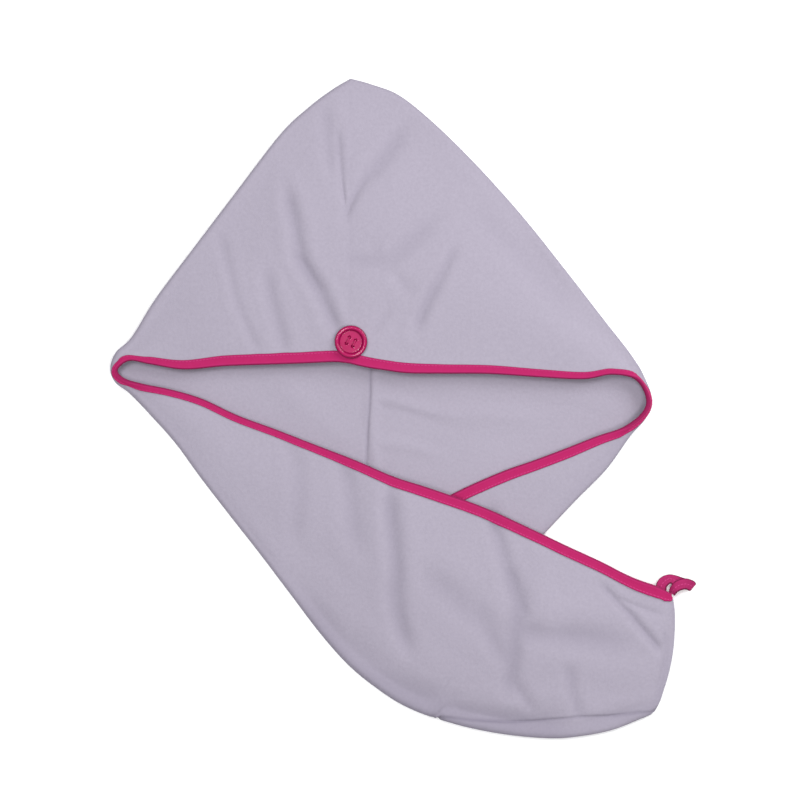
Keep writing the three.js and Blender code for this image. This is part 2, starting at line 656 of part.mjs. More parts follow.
// The loop's tape, from its end at the tail's tip, out and round, and back under itself to the other
// end between the two bound edges: places from the tip as shares of loopReach, heights as shares of
// mouthLoft, and how far the tape is tilted about its own length in degrees
const loopRoute = table(['out', 'over', 'up', 'tilt'], [
  [0.07, 0.11, 0.45, -60],
  [0.31, 0.28, 0.46, -44],
  [0.60, 0.40, 0.42, -24],
  [0.82, 0.42, 0.32, -10],
  [0.93, 0.41, 0.20, 0],
  [0.84, 0.41, 0.11, 0],
  [0.62, 0.46, 0.11, 4],
  [0.36, 0.56, 0.13, 14],
  [0.07, 0.60, 0.22, 30],
  [-0.19, 0.50, 0.33, 20],
  [-0.33, 0.33, 0.385, 0],
  [-0.36, 0.14, 0.388, 0],
]);

function loopGeometry() {
  const tip = lipAt(leftPly, tipStation);
  const steps = 3 * (loopRoute.rows.length - 1);
  const spots = [];
  const tilts = [];
  for (let k = 0; k <= steps; k += 1) {
    const spot = valuesAt(loopRoute, (k / steps) * (loopRoute.rows.length - 1));
    spots.push(new THREE.Vector3(tip.x + spot.out * loopReach, tip.y + spot.over * loopReach,
      spot.up * mouthLoft));
    tilts.push(THREE.MathUtils.degToRad(spot.tilt));
  }
  const steepest = 0.3; // where the tape runs more upright than this it keeps the side it had
  let sideways = new THREE.Vector3(0.6, -0.8, 0);
  const outlines = spots.map((spot, k) => {
    const along = spots[Math.min(k + 1, steps)].clone().sub(spots[Math.max(k - 1, 0)]).normalize();
    const level = new THREE.Vector3(along.y, -along.x, 0);
    if (level.length() > steepest) {
      sideways = level.multiplyScalar(Math.sign(level.dot(sideways))).normalize();
    }
    const across = sideways.clone().applyAxisAngle(along, tilts[k]);
    const through = along.clone().cross(across);
    return [[1, 1], [-1, 1], [-1, -1], [1, -1]].map(([a, b]) => spot.clone()
      .addScaledVector(across, (a * loopWidth) / 2)
      .addScaledVector(through, (b * loopThickness) / 2));
  });
  return sweptGeometry(outlines);
}

// Colours and finishes
const fleece = new THREE.MeshStandardMaterial({ color: 0xbdb6c6, roughness: 0.95, metalness: 0 });
const binding = new THREE.MeshStandardMaterial({ color: 0xc8286c, roughness: 0.7, metalness: 0 });
const gloss = new THREE.MeshStandardMaterial({ color: 0xc61f66, roughness: 0.25, metalness: 0 });
const yarn = new THREE.MeshStandardMaterial({ color: 0xb8185a, roughness: 0.6, metalness: 0 });

const turban = new THREE.Group();
function place(name, geometry, material) {
  const mesh = new THREE.Mesh(geometry, material);
  mesh.name = name;
  turban.add(mesh);
  return mesh;
}

place('left_panel', panelGeometry(standBack(leftRows, leftNormals, -1), leftNormals), fleece);
place('right_panel', panelGeometry(standBack(rightRows, rightNormals, 1), rightNormals), fleece);
place('mouth_binding', bindingGeometry(), binding);
for (const [name, geometry, material] of [
  ['button', buttonGeometry(), gloss],
  ['button_thread', threadGeometry(), yarn],
]) {
  place(name, geometry, material).position.set(buttonSpot.x, buttonSpot.y, buttonFloor);
}
place('button_loop', loopGeometry(), binding);

export default turban;
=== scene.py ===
import math
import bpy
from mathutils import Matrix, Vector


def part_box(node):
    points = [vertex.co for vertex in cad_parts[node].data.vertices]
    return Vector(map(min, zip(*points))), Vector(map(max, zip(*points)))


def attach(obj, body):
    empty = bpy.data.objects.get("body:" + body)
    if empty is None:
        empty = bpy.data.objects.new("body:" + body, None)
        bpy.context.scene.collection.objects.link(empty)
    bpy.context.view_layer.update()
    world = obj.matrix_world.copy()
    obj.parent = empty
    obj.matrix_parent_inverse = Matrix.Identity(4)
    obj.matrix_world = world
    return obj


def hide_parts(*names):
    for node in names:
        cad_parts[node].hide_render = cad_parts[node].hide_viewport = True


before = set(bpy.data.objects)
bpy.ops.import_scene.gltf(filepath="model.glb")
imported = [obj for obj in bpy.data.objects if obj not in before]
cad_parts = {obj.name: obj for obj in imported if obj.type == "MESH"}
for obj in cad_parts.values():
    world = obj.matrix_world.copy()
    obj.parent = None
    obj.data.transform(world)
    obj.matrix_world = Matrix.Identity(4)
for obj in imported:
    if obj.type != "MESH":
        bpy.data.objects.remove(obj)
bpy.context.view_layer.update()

from types import SimpleNamespace

import bpy
import numpy as np

# The cloth: two mirror-image panels of brushed microfibre fleece, about 2 mm thick, sewn to each
# other along one curved seam. Laid flat it makes a pointed pouch with its mouth up, and a long
# tail whose right half is folded away under the left one.
cloth_span = 0.452
hood_height = 0.233
tail_drop = 0.296
half_cloth = 0.001
fold_height = 0.009
mouth_loft = 0.014
ply_gap = 0.0006
tape_width = 0.0088
tape_thickness = 0.0008
tape_gap = 0.0003
loop_reach = 0.0198
loop_overhang = 0.84 * loop_reach
lip_run = 2 * tape_width
round_share = 0.55
least_slant = 0.7
climb_run = 0.012
tail_start = 21
tip_station = 34
pleat_station = 20.93
fold_over_station = 15
bound_columns = 14
main_columns = 124
row_count = 250

# Columns: x, y as shares of the cloth's span and of its height above or below the mouth's corner
back_seam = np.array([
    [0.428, 0.924], [0.432, 0.838], [0.439, 0.718], [0.446, 0.581], [0.451, 0.426],
    [0.456, 0.271], [0.460, 0.134], [0.461, 0.058], [0.461, 0.010], [0.460, -0.027],
    [0.460, -0.059], [0.459, -0.095], [0.457, -0.138], [0.455, -0.192], [0.453, -0.251],
    [0.455, -0.319], [0.458, -0.397], [0.465, -0.489], [0.481, -0.616], [0.499, -0.716],
    [0.518, -0.797], [0.539, -0.857],
])
# Columns: fold x, fold y, lip x, lip y, roll of the fold, crest, height of the lip
left_ply = np.array([
    [0.426, 1.000, 0.4245, 0.023, 1.00, 0.12, 1.00],
    [0.393, 0.962, 0.400, 0.028, 1.00, 0.16, 1.00],
    [0.350, 0.899, 0.371, 0.026, 1.00, 0.20, 0.99],
    [0.301, 0.808, 0.336, 0.023, 1.00, 0.24, 0.97],
    [0.219, 0.601, 0.274, 0.019, 1.00, 0.25, 0.94],
    [0.141, 0.402, 0.203, 0.014, 1.00, 0.24, 0.90],
    [0.079, 0.241, 0.132, 0.003, 1.00, 0.18, 0.86],
    [0.037, 0.110, 0.074, 0.020, 1.06, 0.10, 0.85],
    [0.009, 0.056, 0.035, 0.032, 1.22, 0.03, 0.86],
    [0.000, 0.003, 0.0125, -0.001, 1.36, 0.00, 0.88],
    [0.008, -0.034, 0.024, -0.027, 1.27, 0.00, 0.84],
    [0.033, -0.064, 0.058, -0.043, 1.10, 0.00, 0.76],
    [0.074, -0.130, 0.109, -0.059, 1.00, 0.03, 0.66],
    [0.115, -0.201, 0.163, -0.084, 0.95, 0.07, 0.60],
    [0.159, -0.293, 0.223, -0.127, 0.95, 0.10, 0.57],
    [0.209, -0.392, 0.292, -0.166, 0.95, 0.13, 0.60],
    [0.263, -0.497, 0.363, -0.208, 0.95, 0.17, 0.66],
    [0.318, -0.608, 0.433, -0.249, 0.95, 0.20, 0.75],
    [0.375, -0.722, 0.499, -0.292, 0.95, 0.21, 0.85],
    [0.429, -0.812, 0.556, -0.320, 1.00, 0.21, 0.94],
    [0.492, -0.886, 0.593, -0.339, 1.00, 0.21, 0.96],
    [0.535, -0.922, 0.633, -0.360, 1.00, 0.23, 0.95],
    [0.577, -0.946, 0.676, -0.386, 1.00, 0.25, 0.91],
    [0.641, -0.973, 0.720, -0.417, 0.95, 0.28, 0.87],
    [0.713, -0.992, 0.763, -0.448, 0.95, 0.28, 0.83],
    [0.785, -1.000, 0.805, -0.479, 0.95, 0.28, 0.75],
    [0.838, -0.993, 0.842, -0.505, 0.95, 0.25, 0.64],
    [0.888, -0.978, 0.874, -0.528, 0.90, 0.22, 0.60],
    [0.934, -0.951, 0.903, -0.551, 0.88, 0.18, 0.60],
    [0.965, -0.927, 0.927, -0.568, 0.80, 0.16, 0.61],
    [0.981, -0.868, 0.947, -0.579, 0.78, 0.13, 0.62],
    [0.995, -0.786, 0.961, -0.586, 0.78, 0.09, 0.63],
    [1.000, -0.711, 0.973, -0.593, 0.80, 0.05, 0.63],
    [1.000, -0.657, 0.984, -0.603, 0.85, 0.02, 0.60],
    [0.997, -0.630, 0.993, -0.609, 0.90, 0.00, 0.56],
])
right_ply = np.array([
    [0.426, 1.000, 0.4245, 0.023, 1.00, 0.12, 1.00],
    [0.464, 0.979, 0.453, 0.010, 1.00, 0.16, 1.00],
    [0.511, 0.943, 0.487, 0.000, 1.00, 0.20, 1.00],
    [0.570, 0.852, 0.527, -0.008, 1.00, 0.24, 0.99],
    [0.646, 0.708, 0.589, -0.009, 1.00, 0.28, 0.98],
    [0.729, 0.529, 0.672, -0.010, 1.00, 0.28, 0.98],
    [0.807, 0.340, 0.761, -0.019, 1.00, 0.24, 0.98],
    [0.874, 0.172, 0.837, -0.024, 1.06, 0.16, 1.00],
    [0.920, 0.057, 0.887, -0.012, 1.20, 0.07, 1.03],
    [0.949, -0.032, 0.931, -0.027, 1.42, 0.02, 1.07],
    [0.959, -0.084, 0.9505, -0.081, 1.55, 0.00, 1.07],
    [0.949, -0.132, 0.942, -0.121, 1.38, 0.00, 0.98],
    [0.922, -0.180, 0.909, -0.159, 1.14, 0.00, 0.84],
    [0.880, -0.270, 0.861, -0.185, 0.98, 0.03, 0.64],
    [0.828, -0.351, 0.810, -0.216, 0.85, 0.04, 0.53],
    [0.768, -0.448, 0.753, -0.249, 0.65, 0.02, 0.44],
    [0.704, -0.549, 0.699, -0.278, 0.58, 0.00, 0.37],
    [0.637, -0.654, 0.641, -0.316, 0.53, 0.00, 0.33],
    [0.573, -0.751, 0.595, -0.350, 0.51, 0.00, 0.32],
    [0.550, -0.785, 0.577, -0.362, 0.51, 0.00, 0.32],
    [0.543, -0.796, 0.568, -0.368, 0.51, 0.00, 0.32],
    [0.541, -0.797, 0.563, -0.372, 0.51, 0.00, 0.32],
])
# Columns: how far the seam lies in from the fold, lip x, lip y, height of the lip
under_ply = np.array([
    [-0.065, 0.564, -0.376, 0.69],
    [0.000, 0.612, -0.400, 0.62],
    [0.020, 0.676, -0.432, 0.58],
    [0.034, 0.726, -0.465, 0.60],
    [0.050, 0.772, -0.499, 0.45],
    [0.050, 0.814, -0.527, 0.24],
    [0.037, 0.850, -0.551, 0.18],
    [0.018, 0.881, -0.573, 0.17],
    [0.002, 0.910, -0.592, 0.17],
    [0.000, 0.933, -0.605, 0.17],
    [0.000, 0.950, -0.614, 0.17],
    [0.000, 0.966, -0.620, 0.17],
    [0.000, 0.981, -0.622, 0.17],
    [0.000, 0.992, -0.620, 0.17],
])
# Width of the binding on the outer face at each station, as a share of its full width
left_tape = [
    1.0, 1.05, 1.05, 1.02, 1.0, 0.98, 0.84, 0.64, 0.50, 0.42, 0.48, 0.58, 0.63, 0.64, 0.64, 0.66,
    0.71, 0.80, 0.89, 0.95, 0.95, 0.94, 0.94, 0.94, 0.94, 0.94, 0.94, 0.94, 0.94, 1.0, 1.05, 1.05,
    0.96, 0.74, 0.42,
]
right_tape = [
    1.0, 0.98, 0.92, 0.94, 0.84, 0.80, 0.74, 0.66, 0.50, 0.40, 0.34, 0.42, 0.62, 0.84, 0.94, 0.95,
    1.0,
]
# Soft folds of the upper ply. Columns: from x, y, to x, y, half width and depth in millimetres,
# where a negative depth is a ridge
upper_folds = np.array([
    [0.315, 0.560, 0.341, 0.368, 5.0, 2.44],
    [0.341, 0.368, 0.368, 0.272, 5.0, 3.51],
    [0.368, 0.272, 0.389, 0.169, 5.0, 2.75],
    [0.407, 0.787, 0.414, 0.677, 3.0, 1.37],
    [0.414, 0.677, 0.417, 0.533, 2.2, 1.22],
    [0.385, 0.855, 0.393, 0.725, 5.0, 1.22],
    [0.423, 0.550, 0.478, 0.690, 4.0, 1.83],
    [0.478, 0.690, 0.499, 0.759, 7.0, 1.83],
    [0.456, 0.574, 0.509, 0.649, 7.0, -1.12],
    [0.552, 0.182, 0.573, 0.265, 4.5, 2.29],
    [0.573, 0.265, 0.600, 0.368, 4.0, 1.83],
    [0.449, 0.368, 0.485, 0.368, 6.0, 1.22],
    [0.485, 0.368, 0.516, 0.306, 6.0, 1.22],
    [0.506, 0.381, 0.548, 0.471, 8.0, 1.37],
    [0.205, 0.409, 0.230, 0.237, 4.0, 1.07],
    [0.230, 0.237, 0.258, 0.086, 4.0, 1.07],
    [0.286, 0.278, 0.308, 0.100, 5.0, 1.68],
    [0.676, 0.478, 0.789, 0.258, 9.0, 0.76],
    [0.463, 0.251, 0.485, 0.285, 8.0, -1.68],
    [0.463, 0.134, 0.485, 0.182, 3.0, 0.92],
    [0.322, -0.224, 0.336, -0.408, 6.0, 1.07],
    [0.410, -0.251, 0.432, -0.424, 7.0, 1.68],
    [0.472, -0.256, 0.478, -0.516, 6.0, -1.26],
    [0.497, -0.375, 0.506, -0.597, 6.5, 3.05],
    [0.506, -0.597, 0.520, -0.716, 7.0, 2.75],
    [0.591, -0.592, 0.662, -0.678, 9.0, 1.52],
    [0.662, -0.678, 0.690, -0.754, 8.0, 1.83],
    [0.683, -0.435, 0.711, -0.570, 6.0, 2.13],
    [0.711, -0.570, 0.724, -0.640, 6.5, 3.35],
    [0.724, -0.640, 0.711, -0.819, 7.0, 2.90],
    [0.764, -0.505, 0.771, -0.667, 10.0, -1.40],
    [0.754, -0.716, 0.846, -0.732, 12.0, 2.44],
    [0.888, -0.602, 0.924, -0.662, 3.5, 1.98],
    [0.924, -0.662, 0.959, -0.738, 4.0, 2.44],
    [0.814, -0.840, 0.839, -0.932, 3.5, 1.98],
    [0.725, -0.851, 0.754, -0.927, 4.5, 1.83],
    [0.449, -0.786, 0.548, -0.905, 14.0, 1.83],
    [0.918, -0.624, 0.964, -0.648, 3.0, 0.76],
    [0.368, -0.700, 0.453, -0.840, 14.0, 2.44],
    [0.453, -0.840, 0.577, -0.929, 18.0, 3.36],
    [0.577, -0.929, 0.761, -0.967, 12.0, 3.42],
    [0.860, -0.959, 0.962, -0.911, 6.0, 1.71],
    [0.980, -0.732, 0.968, -0.894, 4.0, 1.10],
])
# Low ridges of the lower ply inside the mouth, with the same columns
lower_folds = np.array([
    [0.470, 0.011, 0.469, -0.251, 4.5, 1.52],
    [0.499, -0.092, 0.605, -0.121, 5.5, 1.52],
    [0.605, -0.121, 0.718, -0.132, 8.0, 1.22],
    [0.485, -0.208, 0.548, -0.224, 6.0, 1.07],
    [0.336, -0.073, 0.389, -0.138, 10.0, 0.76],
    [0.796, -0.078, 0.867, -0.094, 9.0, 0.76],
])


def ease(f):
    """From 0 to 1 with level ends: three times the square less twice the cube."""
    f = np.clip(f, 0, 1)
    return f * f * (3 - 2 * f)


def mix(a, b, f):
    """The value a share f of the way from a to b."""
    return a + (b - a) * f


def unit(v):
    """Each vector divided by its own length."""
    return v / np.maximum(np.linalg.norm(v, axis=-1, keepdims=True), 1e-9)


def table_at(rows, stations, first=0):
    """Cubic curves through a table's rows, each with the mean slope of its neighbours."""
    padded = np.vstack([2 * rows[0] - rows[1], rows, 2 * rows[-1] - rows[-2]])
    place = np.clip(np.asarray(stations, float) - first, 0, len(rows) - 1)
    k = np.minimum(place.astype(int), len(rows) - 2)
    f = (place - k)[:, None]
    a, b, d, e = (padded[k + n] for n in range(4))
    bend = 1.5 * (b - d) + (e - a) / 2
    return b + f * ((d - a) / 2 + f * (a - 2.5 * b + 2 * d - e / 2 + f * bend))


def plan(shares):
    """Metres on the table from shares: x of the span, y of the height above or below the corner."""
    x, y = shares[..., 0], shares[..., 1]
    tall = np.where(y >= 0, hood_height, tail_drop)
    return np.stack([x * cloth_span - (cloth_span + loop_overhang) / 2,
                     y * tall - (hood_height - tail_drop) / 2], axis=-1)


def soft_waves(spots, seed, size):
    """Sum of twelve low plane waves with lengths from 45 to 130 mm and mixed headings."""
    draw = np.random.default_rng(seed)
    height = np.zeros(spots.shape[:-1])
    for heading, length, phase in zip(draw.uniform(0, 2 * np.pi, 12), draw.uniform(0.045, 0.13, 12),
                                      draw.uniform(0, 2 * np.pi, 12)):
        along = spots[..., 0] * np.cos(heading) + spots[..., 1] * np.sin(heading)
        height += np.sin(2 * np.pi * along / length + phase) * length
    return size * height / 0.3


fold_wander = 0.0022
fade_share = 0.4
swell_share, swell_place, swell_width = 0.2, 2.1, 0.9


def folds_at(spots, folds):
    """Depth of the folds in metres: the deepest of depth times exp(-(distance over half width)
    squared), less a low swell of a fifth of the depth along both sides, which stops at a fold's own
    valley. A fold of negative depth is a ridge, combined in the same way. The lines wander a
    little, and beyond their ends the distance counts at two fifths, so that they fade out."""
    aside_x, aside_y = soft_waves(spots, 2, fold_wander), soft_waves(spots, 3, fold_wander)
    spots = spots + np.stack([aside_x, aside_y], axis=-1)
    valley, ridge, swell, inside = np.zeros((4,) + spots.shape[:-1])
    for fold in folds:
        start, end = plan(fold[0:2]), plan(fold[2:4])
        run = end - start
        length = np.linalg.norm(run)
        f = (spots - start) @ run / length ** 2
        beyond = np.maximum(np.abs(f - 0.5) - 0.5, 0) * length * fade_share
        aside = ((spots - start) @ [run[1], -run[0]]) / length
        away = np.hypot(aside, beyond) / (fold[4] / 1000)
        share = np.exp(-away * away)
        valley = np.maximum(valley, fold[5] / 1000 * share)
        ridge = np.maximum(ridge, -fold[5] / 1000 * share)
        beside = np.exp(-((away - swell_place) / swell_width) ** 2)
        swell = np.maximum(swell, swell_share * fold[5] / 1000 * beside)
        inside = np.maximum(inside, share)
    return valley - ridge - swell * (1 - inside)


def sections(side, stations):
    """One cross-section per station: a flat lower ply, a round fold and a swelling upper ply."""
    s = SimpleNamespace(tail=stations >= tail_start)
    tail = s.tail[:, None]
    upper = table_at(left_ply, stations)
    if side == "right":
        upper = np.where(tail, upper, table_at(right_ply, stations))
    under = table_at(under_ply, stations, tail_start)
    fold, s.lip = plan(upper[:, 0:2]), plan(upper[:, 2:4])
    s.low_end = np.where(tail, plan(under[:, 1:3]), plan(table_at(back_seam, stations)))
    s.up, s.down = unit(s.lip - fold), unit(s.low_end - fold)
    reach = np.linalg.norm(s.lip - fold, axis=1)
    s.fold = fold + unit(s.up + s.down) * half_cloth
    s.top = upper[:, 4] * fold_height - half_cloth
    s.crest, s.lip_up = upper[:, 5] * mouth_loft, upper[:, 6] * mouth_loft
    s.low_lip = under[:, 3] * mouth_loft
    low_reach = np.linalg.norm(s.fold - s.low_end, axis=1)
    raised = mix(half_cloth, s.low_lip, ease(1 - (low_reach - tape_width) / lip_run))
    s.base = np.where(s.tail, raised, half_cloth)
    s.rise = (s.top - s.base) / 2
    s.depth = np.minimum(s.rise, round_share * reach)
    s.quarter = s.depth * np.pi / 2
    s.up_start = s.fold + s.up * s.depth[:, None]
    s.low_start = s.fold + s.down * s.depth[:, None]
    s.up_length = np.linalg.norm(s.lip - s.up_start, axis=1)
    s.low_length = np.linalg.norm(s.low_end - s.low_start, axis=1)
    inward = under[:, 0] * tail_drop
    near = np.abs(inward) <= s.depth
    bent = s.depth * np.arccos(1 - np.where(near, np.abs(inward) / s.depth, 0))
    placed = np.sign(inward) * np.where(near, bent, s.quarter + np.abs(inward) - s.depth)
    s.seam = np.where(s.tail, placed, -(s.quarter + s.low_length))
    hidden = s.tail & (side == "right")
    s.edge = np.where(hidden, -(s.quarter + s.low_length), s.quarter + s.up_length)
    end = np.where(hidden[:, None], s.low_end, s.lip)
    slant = np.abs(np.cross(unit(np.gradient(end, axis=0)), unit(fold - end)))
    shown = left_tape if side == "left" else right_tape
    full = tape_width * np.interp(stations, np.arange(len(shown)), shown)
    s.lap = (full - tape_gap - tape_thickness) / np.maximum(slant, least_slant)
    return s


fold_over = table_at(right_ply, [fold_over_station, tail_start, fold_over_station + 1])
fold_over_line = plan(fold_over[:2, 0:2])
pile_up = fold_over[2, 4] * fold_height + ply_gap


def pile_lift(spots):
    """The height of the plies below, reached over 12 mm before the line of the first fold."""
    along = unit(fold_over_line[1] - fold_over_line[0])
    away = spots - fold_over_line[1]
    inside = away[..., 0] * along[1] - away[..., 1] * along[0]
    return pile_up * ease(1 - np.maximum(-inside, 0) / climb_run)


upper_waves, lower_waves, lower_lift = 0.00045, 0.0005, 0.0003


def cloth_points(s, q):
    """Points at distances q along the sections. In the fold the plan moves in by depth times one
    less the cosine and the height by rise times the sine. Beyond it the upper ply runs straight to
    the lip in plan, with an eased height, a sine-squared crest and its folds, and the lower ply
    lies flat."""
    row = {name: value[:, None] for name, value in vars(s).items()}
    angle = np.clip(q / row["depth"], -np.pi / 2, np.pi / 2)
    way = unit(mix(row["down"], row["up"], (1 + np.sin(angle)[..., None]) / 2))
    round_xy = row["fold"] + way * (row["depth"] * (1 - np.cos(angle)))[..., None]
    round_z = row["base"] + row["rise"] * (1 + np.sin(angle))
    f = np.clip((q - row["quarter"]) / row["up_length"], 0, 1)
    up_xy = mix(row["up_start"], row["lip"], f[..., None])
    relief = folds_at(up_xy, upper_folds) + soft_waves(up_xy, 4, upper_waves)
    free = ease((q - row["quarter"]) / fold_height)
    free *= ease((row["up_length"] + row["quarter"] - q) / lip_run)
    swell = row["crest"] * np.sin(np.pi * f) ** 2
    up_z = mix(row["top"], row["lip_up"], ease(f)) + swell - relief * free
    g = np.clip((-q - row["quarter"]) / row["low_length"], 0, 1)
    low_xy = mix(row["low_start"], row["low_end"], g[..., None])
    ridge = folds_at(low_xy, lower_folds) + soft_waves(low_xy, 9, lower_waves) + lower_lift
    ridge = np.maximum(ridge, 0)
    flat_z = half_cloth + ridge * ease((-q - row["quarter"]) / fold_height)
    near = ease(1 - ((1 - g) * row["low_length"] - tape_width) / lip_run)
    under_z = mix(row["base"] + pile_lift(low_xy), row["low_lip"], near)
    low_z = np.where(row["tail"], under_z, flat_z)
    above, below = q > row["quarter"], q < -row["quarter"]
    xy = np.where(above[..., None], up_xy, np.where(below[..., None], low_xy, round_xy))
    z = np.where(above, up_z, np.where(below, low_z, round_z))
    return np.concatenate([xy, z[..., None]], axis=-1)


hidden_weight, fold_weight, seam_weight = 0.55, 3, 4
fold_spread, seam_spread = 1.4, 0.003


def column_distances(s):
    """Distances from the seam to the mouth edge whose steps shrink in the fold and beside the seam,
    then even steps over the width that the binding covers."""
    way = np.sign(s.edge - s.seam)
    lap = s.edge - way * np.minimum(s.lap, np.abs(s.edge - s.seam) / 2)
    share = np.linspace(0, 1, 401)
    q = mix(s.seam[:, None], lap[:, None], (share[1:] + share[:-1]) / 2)
    hidden = (q < 0) & (way[:, None] > 0)
    weight = np.where(hidden, hidden_weight, 1)
    weight = weight + fold_weight * np.exp(-(q / (fold_spread * s.quarter[:, None])) ** 2)
    weight += seam_weight * np.exp(-((q - s.seam[:, None]) / seam_spread) ** 2)
    total = np.concatenate([np.zeros((len(q), 1)), np.cumsum(weight, axis=1)], axis=1)
    steps = np.arange(main_columns) / main_columns
    placed = np.stack([np.interp(steps * t[-1], t, share) for t in total])
    bound = np.arange(bound_columns + 1) / bound_columns
    return np.concatenate([mix(s.seam[:, None], lap[:, None], placed),
                           mix(lap[:, None], s.edge[:, None], bound)], axis=1)


front_weight, front_spread = 3, 0.012
turn_weight, most_turn = 0.01, 0.1
pleat_clear = 0.02


def row_stations():
    """Stations whose steps are even along the longer outline, closer where the mouth edge turns and
    beside the front seam, with the two rows of the hidden pleat."""
    fine = np.linspace(0, tip_station, 3401)
    left, right = table_at(left_ply, fine), table_at(right_ply, fine)
    run = np.zeros(len(fine) - 1)
    turn = np.zeros(len(fine) - 1)
    for ply in (left, right):
        steps = np.diff(plan(ply[:, 0:2]), axis=0)
        run = np.maximum(run, np.linalg.norm(steps, axis=1))
        lip = np.diff(plan(ply[:, 2:4]), axis=0)
        heading = np.unwrap(np.arctan2(lip[:, 1], lip[:, 0]))
        moving = np.linalg.norm(lip, axis=1) > 1e-6
        turn = np.maximum(turn, np.where(moving, np.abs(np.gradient(heading)), 0))
    out = np.concatenate([[0], np.cumsum(run)])
    pace = run * (1 + front_weight * np.exp(-(out[1:] / front_spread) ** 2))
    pace = pace + turn_weight * np.minimum(turn, most_turn)
    total = np.concatenate([[0], np.cumsum(pace)])
    stations = np.interp(np.linspace(0, total[-1], row_count), total, fine)
    before, after = stations <= pleat_station - pleat_clear, stations >= tail_start + pleat_clear
    stations = stations[before | after]
    return np.sort(np.concatenate([stations, [pleat_station, tail_start]]))


stations = row_stations()
pleat_row = int(np.flatnonzero(stations == pleat_station)[0])
left_sections, right_sections = sections("left", stations), sections("right", stations)
left_distances, right_distances = column_distances(left_sections), column_distances(right_sections)
left_rows = cloth_points(left_sections, left_distances)
right_rows = cloth_points(right_sections, right_distances)


corner_station, corner_run = 9, 4
turn_spread, broad_spread = 0.6, 2.4


def painted_rim_shade(s, q):
    """Painted shade round the turned edge of the fold, from 0 to 1: exp(-(distance over six tenths
    of the quarter turn) squared), and from the mouth's left corner down the tail a third of that
    over a band four times as wide."""
    near = q / s.quarter[:, None]
    along_tail = ease((stations - corner_station) / corner_run)[:, None]
    broad = along_tail * np.exp(-(near / broad_spread) ** 2) / 3
    return np.maximum(np.exp(-(near / turn_spread) ** 2), broad)


# Painted shade along the turned edge of each panel, kept per point for the fleece colour
left_rim_shade = painted_rim_shade(left_sections, left_distances)
right_rim_shade = painted_rim_shade(right_sections, right_distances)

# The round of the hidden pleat: half a turn between the ply that runs to it and the next one
low, high = right_rows[pleat_row], right_rows[pleat_row + 1]
half_turn = np.linspace(0, np.pi, 9)[1:-1, None, None]
pleat_round = mix(low, high, (1 - np.cos(half_turn)) / 2)
pleat_round[..., 0] -= (np.abs(high - low)[:, 2] / 2) * np.sin(half_turn[..., 0])
right_rows = np.insert(right_rows, [pleat_row + 1] * len(pleat_round), pleat_round, axis=0)
right_rim_shade = np.insert(right_rim_shade, [pleat_row + 1] * len(pleat_round), 0, axis=0)
order = np.arange(len(stations))
paired = order + np.where(order > pleat_row, len(pleat_round), 0)


def grid_normals(rows, facing):
    """The cross product of the steps along and across the grid, on the outer face of the cloth."""
    return unit(np.cross(np.gradient(rows, axis=0), np.gradient(rows, axis=1)) * facing)


left_normals, right_normals = grid_normals(left_rows, 1), grid_normals(right_rows, -1)
shared = unit(left_normals[0] + right_normals[0])
left_normals[0], right_normals[0] = shared, shared
shared = unit(left_normals[:, 0] + right_normals[paired, 0])
left_normals[:, 0], right_normals[paired, 0] = shared, shared


back_seam_width, front_seam_width, front_seam_share = 0.0015, 0.0025, 0.1


def seam_share(rows):
    """How near the seam a point is, from 0 to 1: exp(-(way along the grid over 1.5 mm) squared) at
    the back seam in the first column, and a tenth of that over a wider line at the front seam."""
    across = np.linalg.norm(np.diff(rows, axis=1), axis=2)
    across = np.concatenate([np.zeros((len(rows), 1)), np.cumsum(across, axis=1)], axis=1)
    down = np.linalg.norm(np.diff(rows, axis=0), axis=2)
    down = np.concatenate([np.zeros((1, rows.shape[1])), np.cumsum(down, axis=0)], axis=0)
    back = np.exp(-(across / back_seam_width) ** 2)
    front = front_seam_share * np.exp(-(down / front_seam_width) ** 2)
    return np.maximum(back, front)


def grid_faces(count, width):
    """The quads of a grid of count by width points."""
    k = np.arange(count * width).reshape(count, width)
    return np.stack([k[:-1, :-1], k[1:, :-1], k[1:, 1:], k[:-1, 1:]], axis=-1).reshape(-1, 4)


sharp_angle = math.radians(55)


def solid(name, points, faces, material, uv=None, **values):
    """A smooth closed mesh with sharp edges above 55 degrees, turned to face out by the sign of its
    volume, with a number per point for each named value."""
    tri = np.concatenate([faces[:, [0, 1, 2]], faces[:, [0, 2, 3]]])
    a, b, c = (points[tri[:, n]] for n in range(3))
    if np.einsum("ij,ij->i", a, np.cross(b, c)).sum() < 0:
        faces = faces[:, ::-1]
    corners = [list(dict.fromkeys(face)) for face in faces.tolist()]
    mesh = bpy.data.meshes.new(name)
    mesh.from_pydata(points.tolist(), [], corners)
    mesh.polygons.foreach_set("use_smooth", np.ones(len(mesh.polygons), bool))
    if uv is not None:
        index = np.empty(len(mesh.loops), np.int32)
        mesh.loops.foreach_get("vertex_index", index)
        mesh.uv_layers.new(name="along").data.foreach_set("uv", uv[index].ravel())
    for key, numbers in values.items():
        mesh.attributes.new(key, "FLOAT", "POINT").data.foreach_set("value", numbers.ravel())
    mesh.materials.append(material)
    mesh.set_sharp_from_angle(angle=sharp_angle)
    mesh.update()
    piece = bpy.data.objects.new(name, mesh)
    bpy.context.scene.collection.objects.link(piece)
    return piece


seam_pinch, deep_fold = 0.66, 0.0030


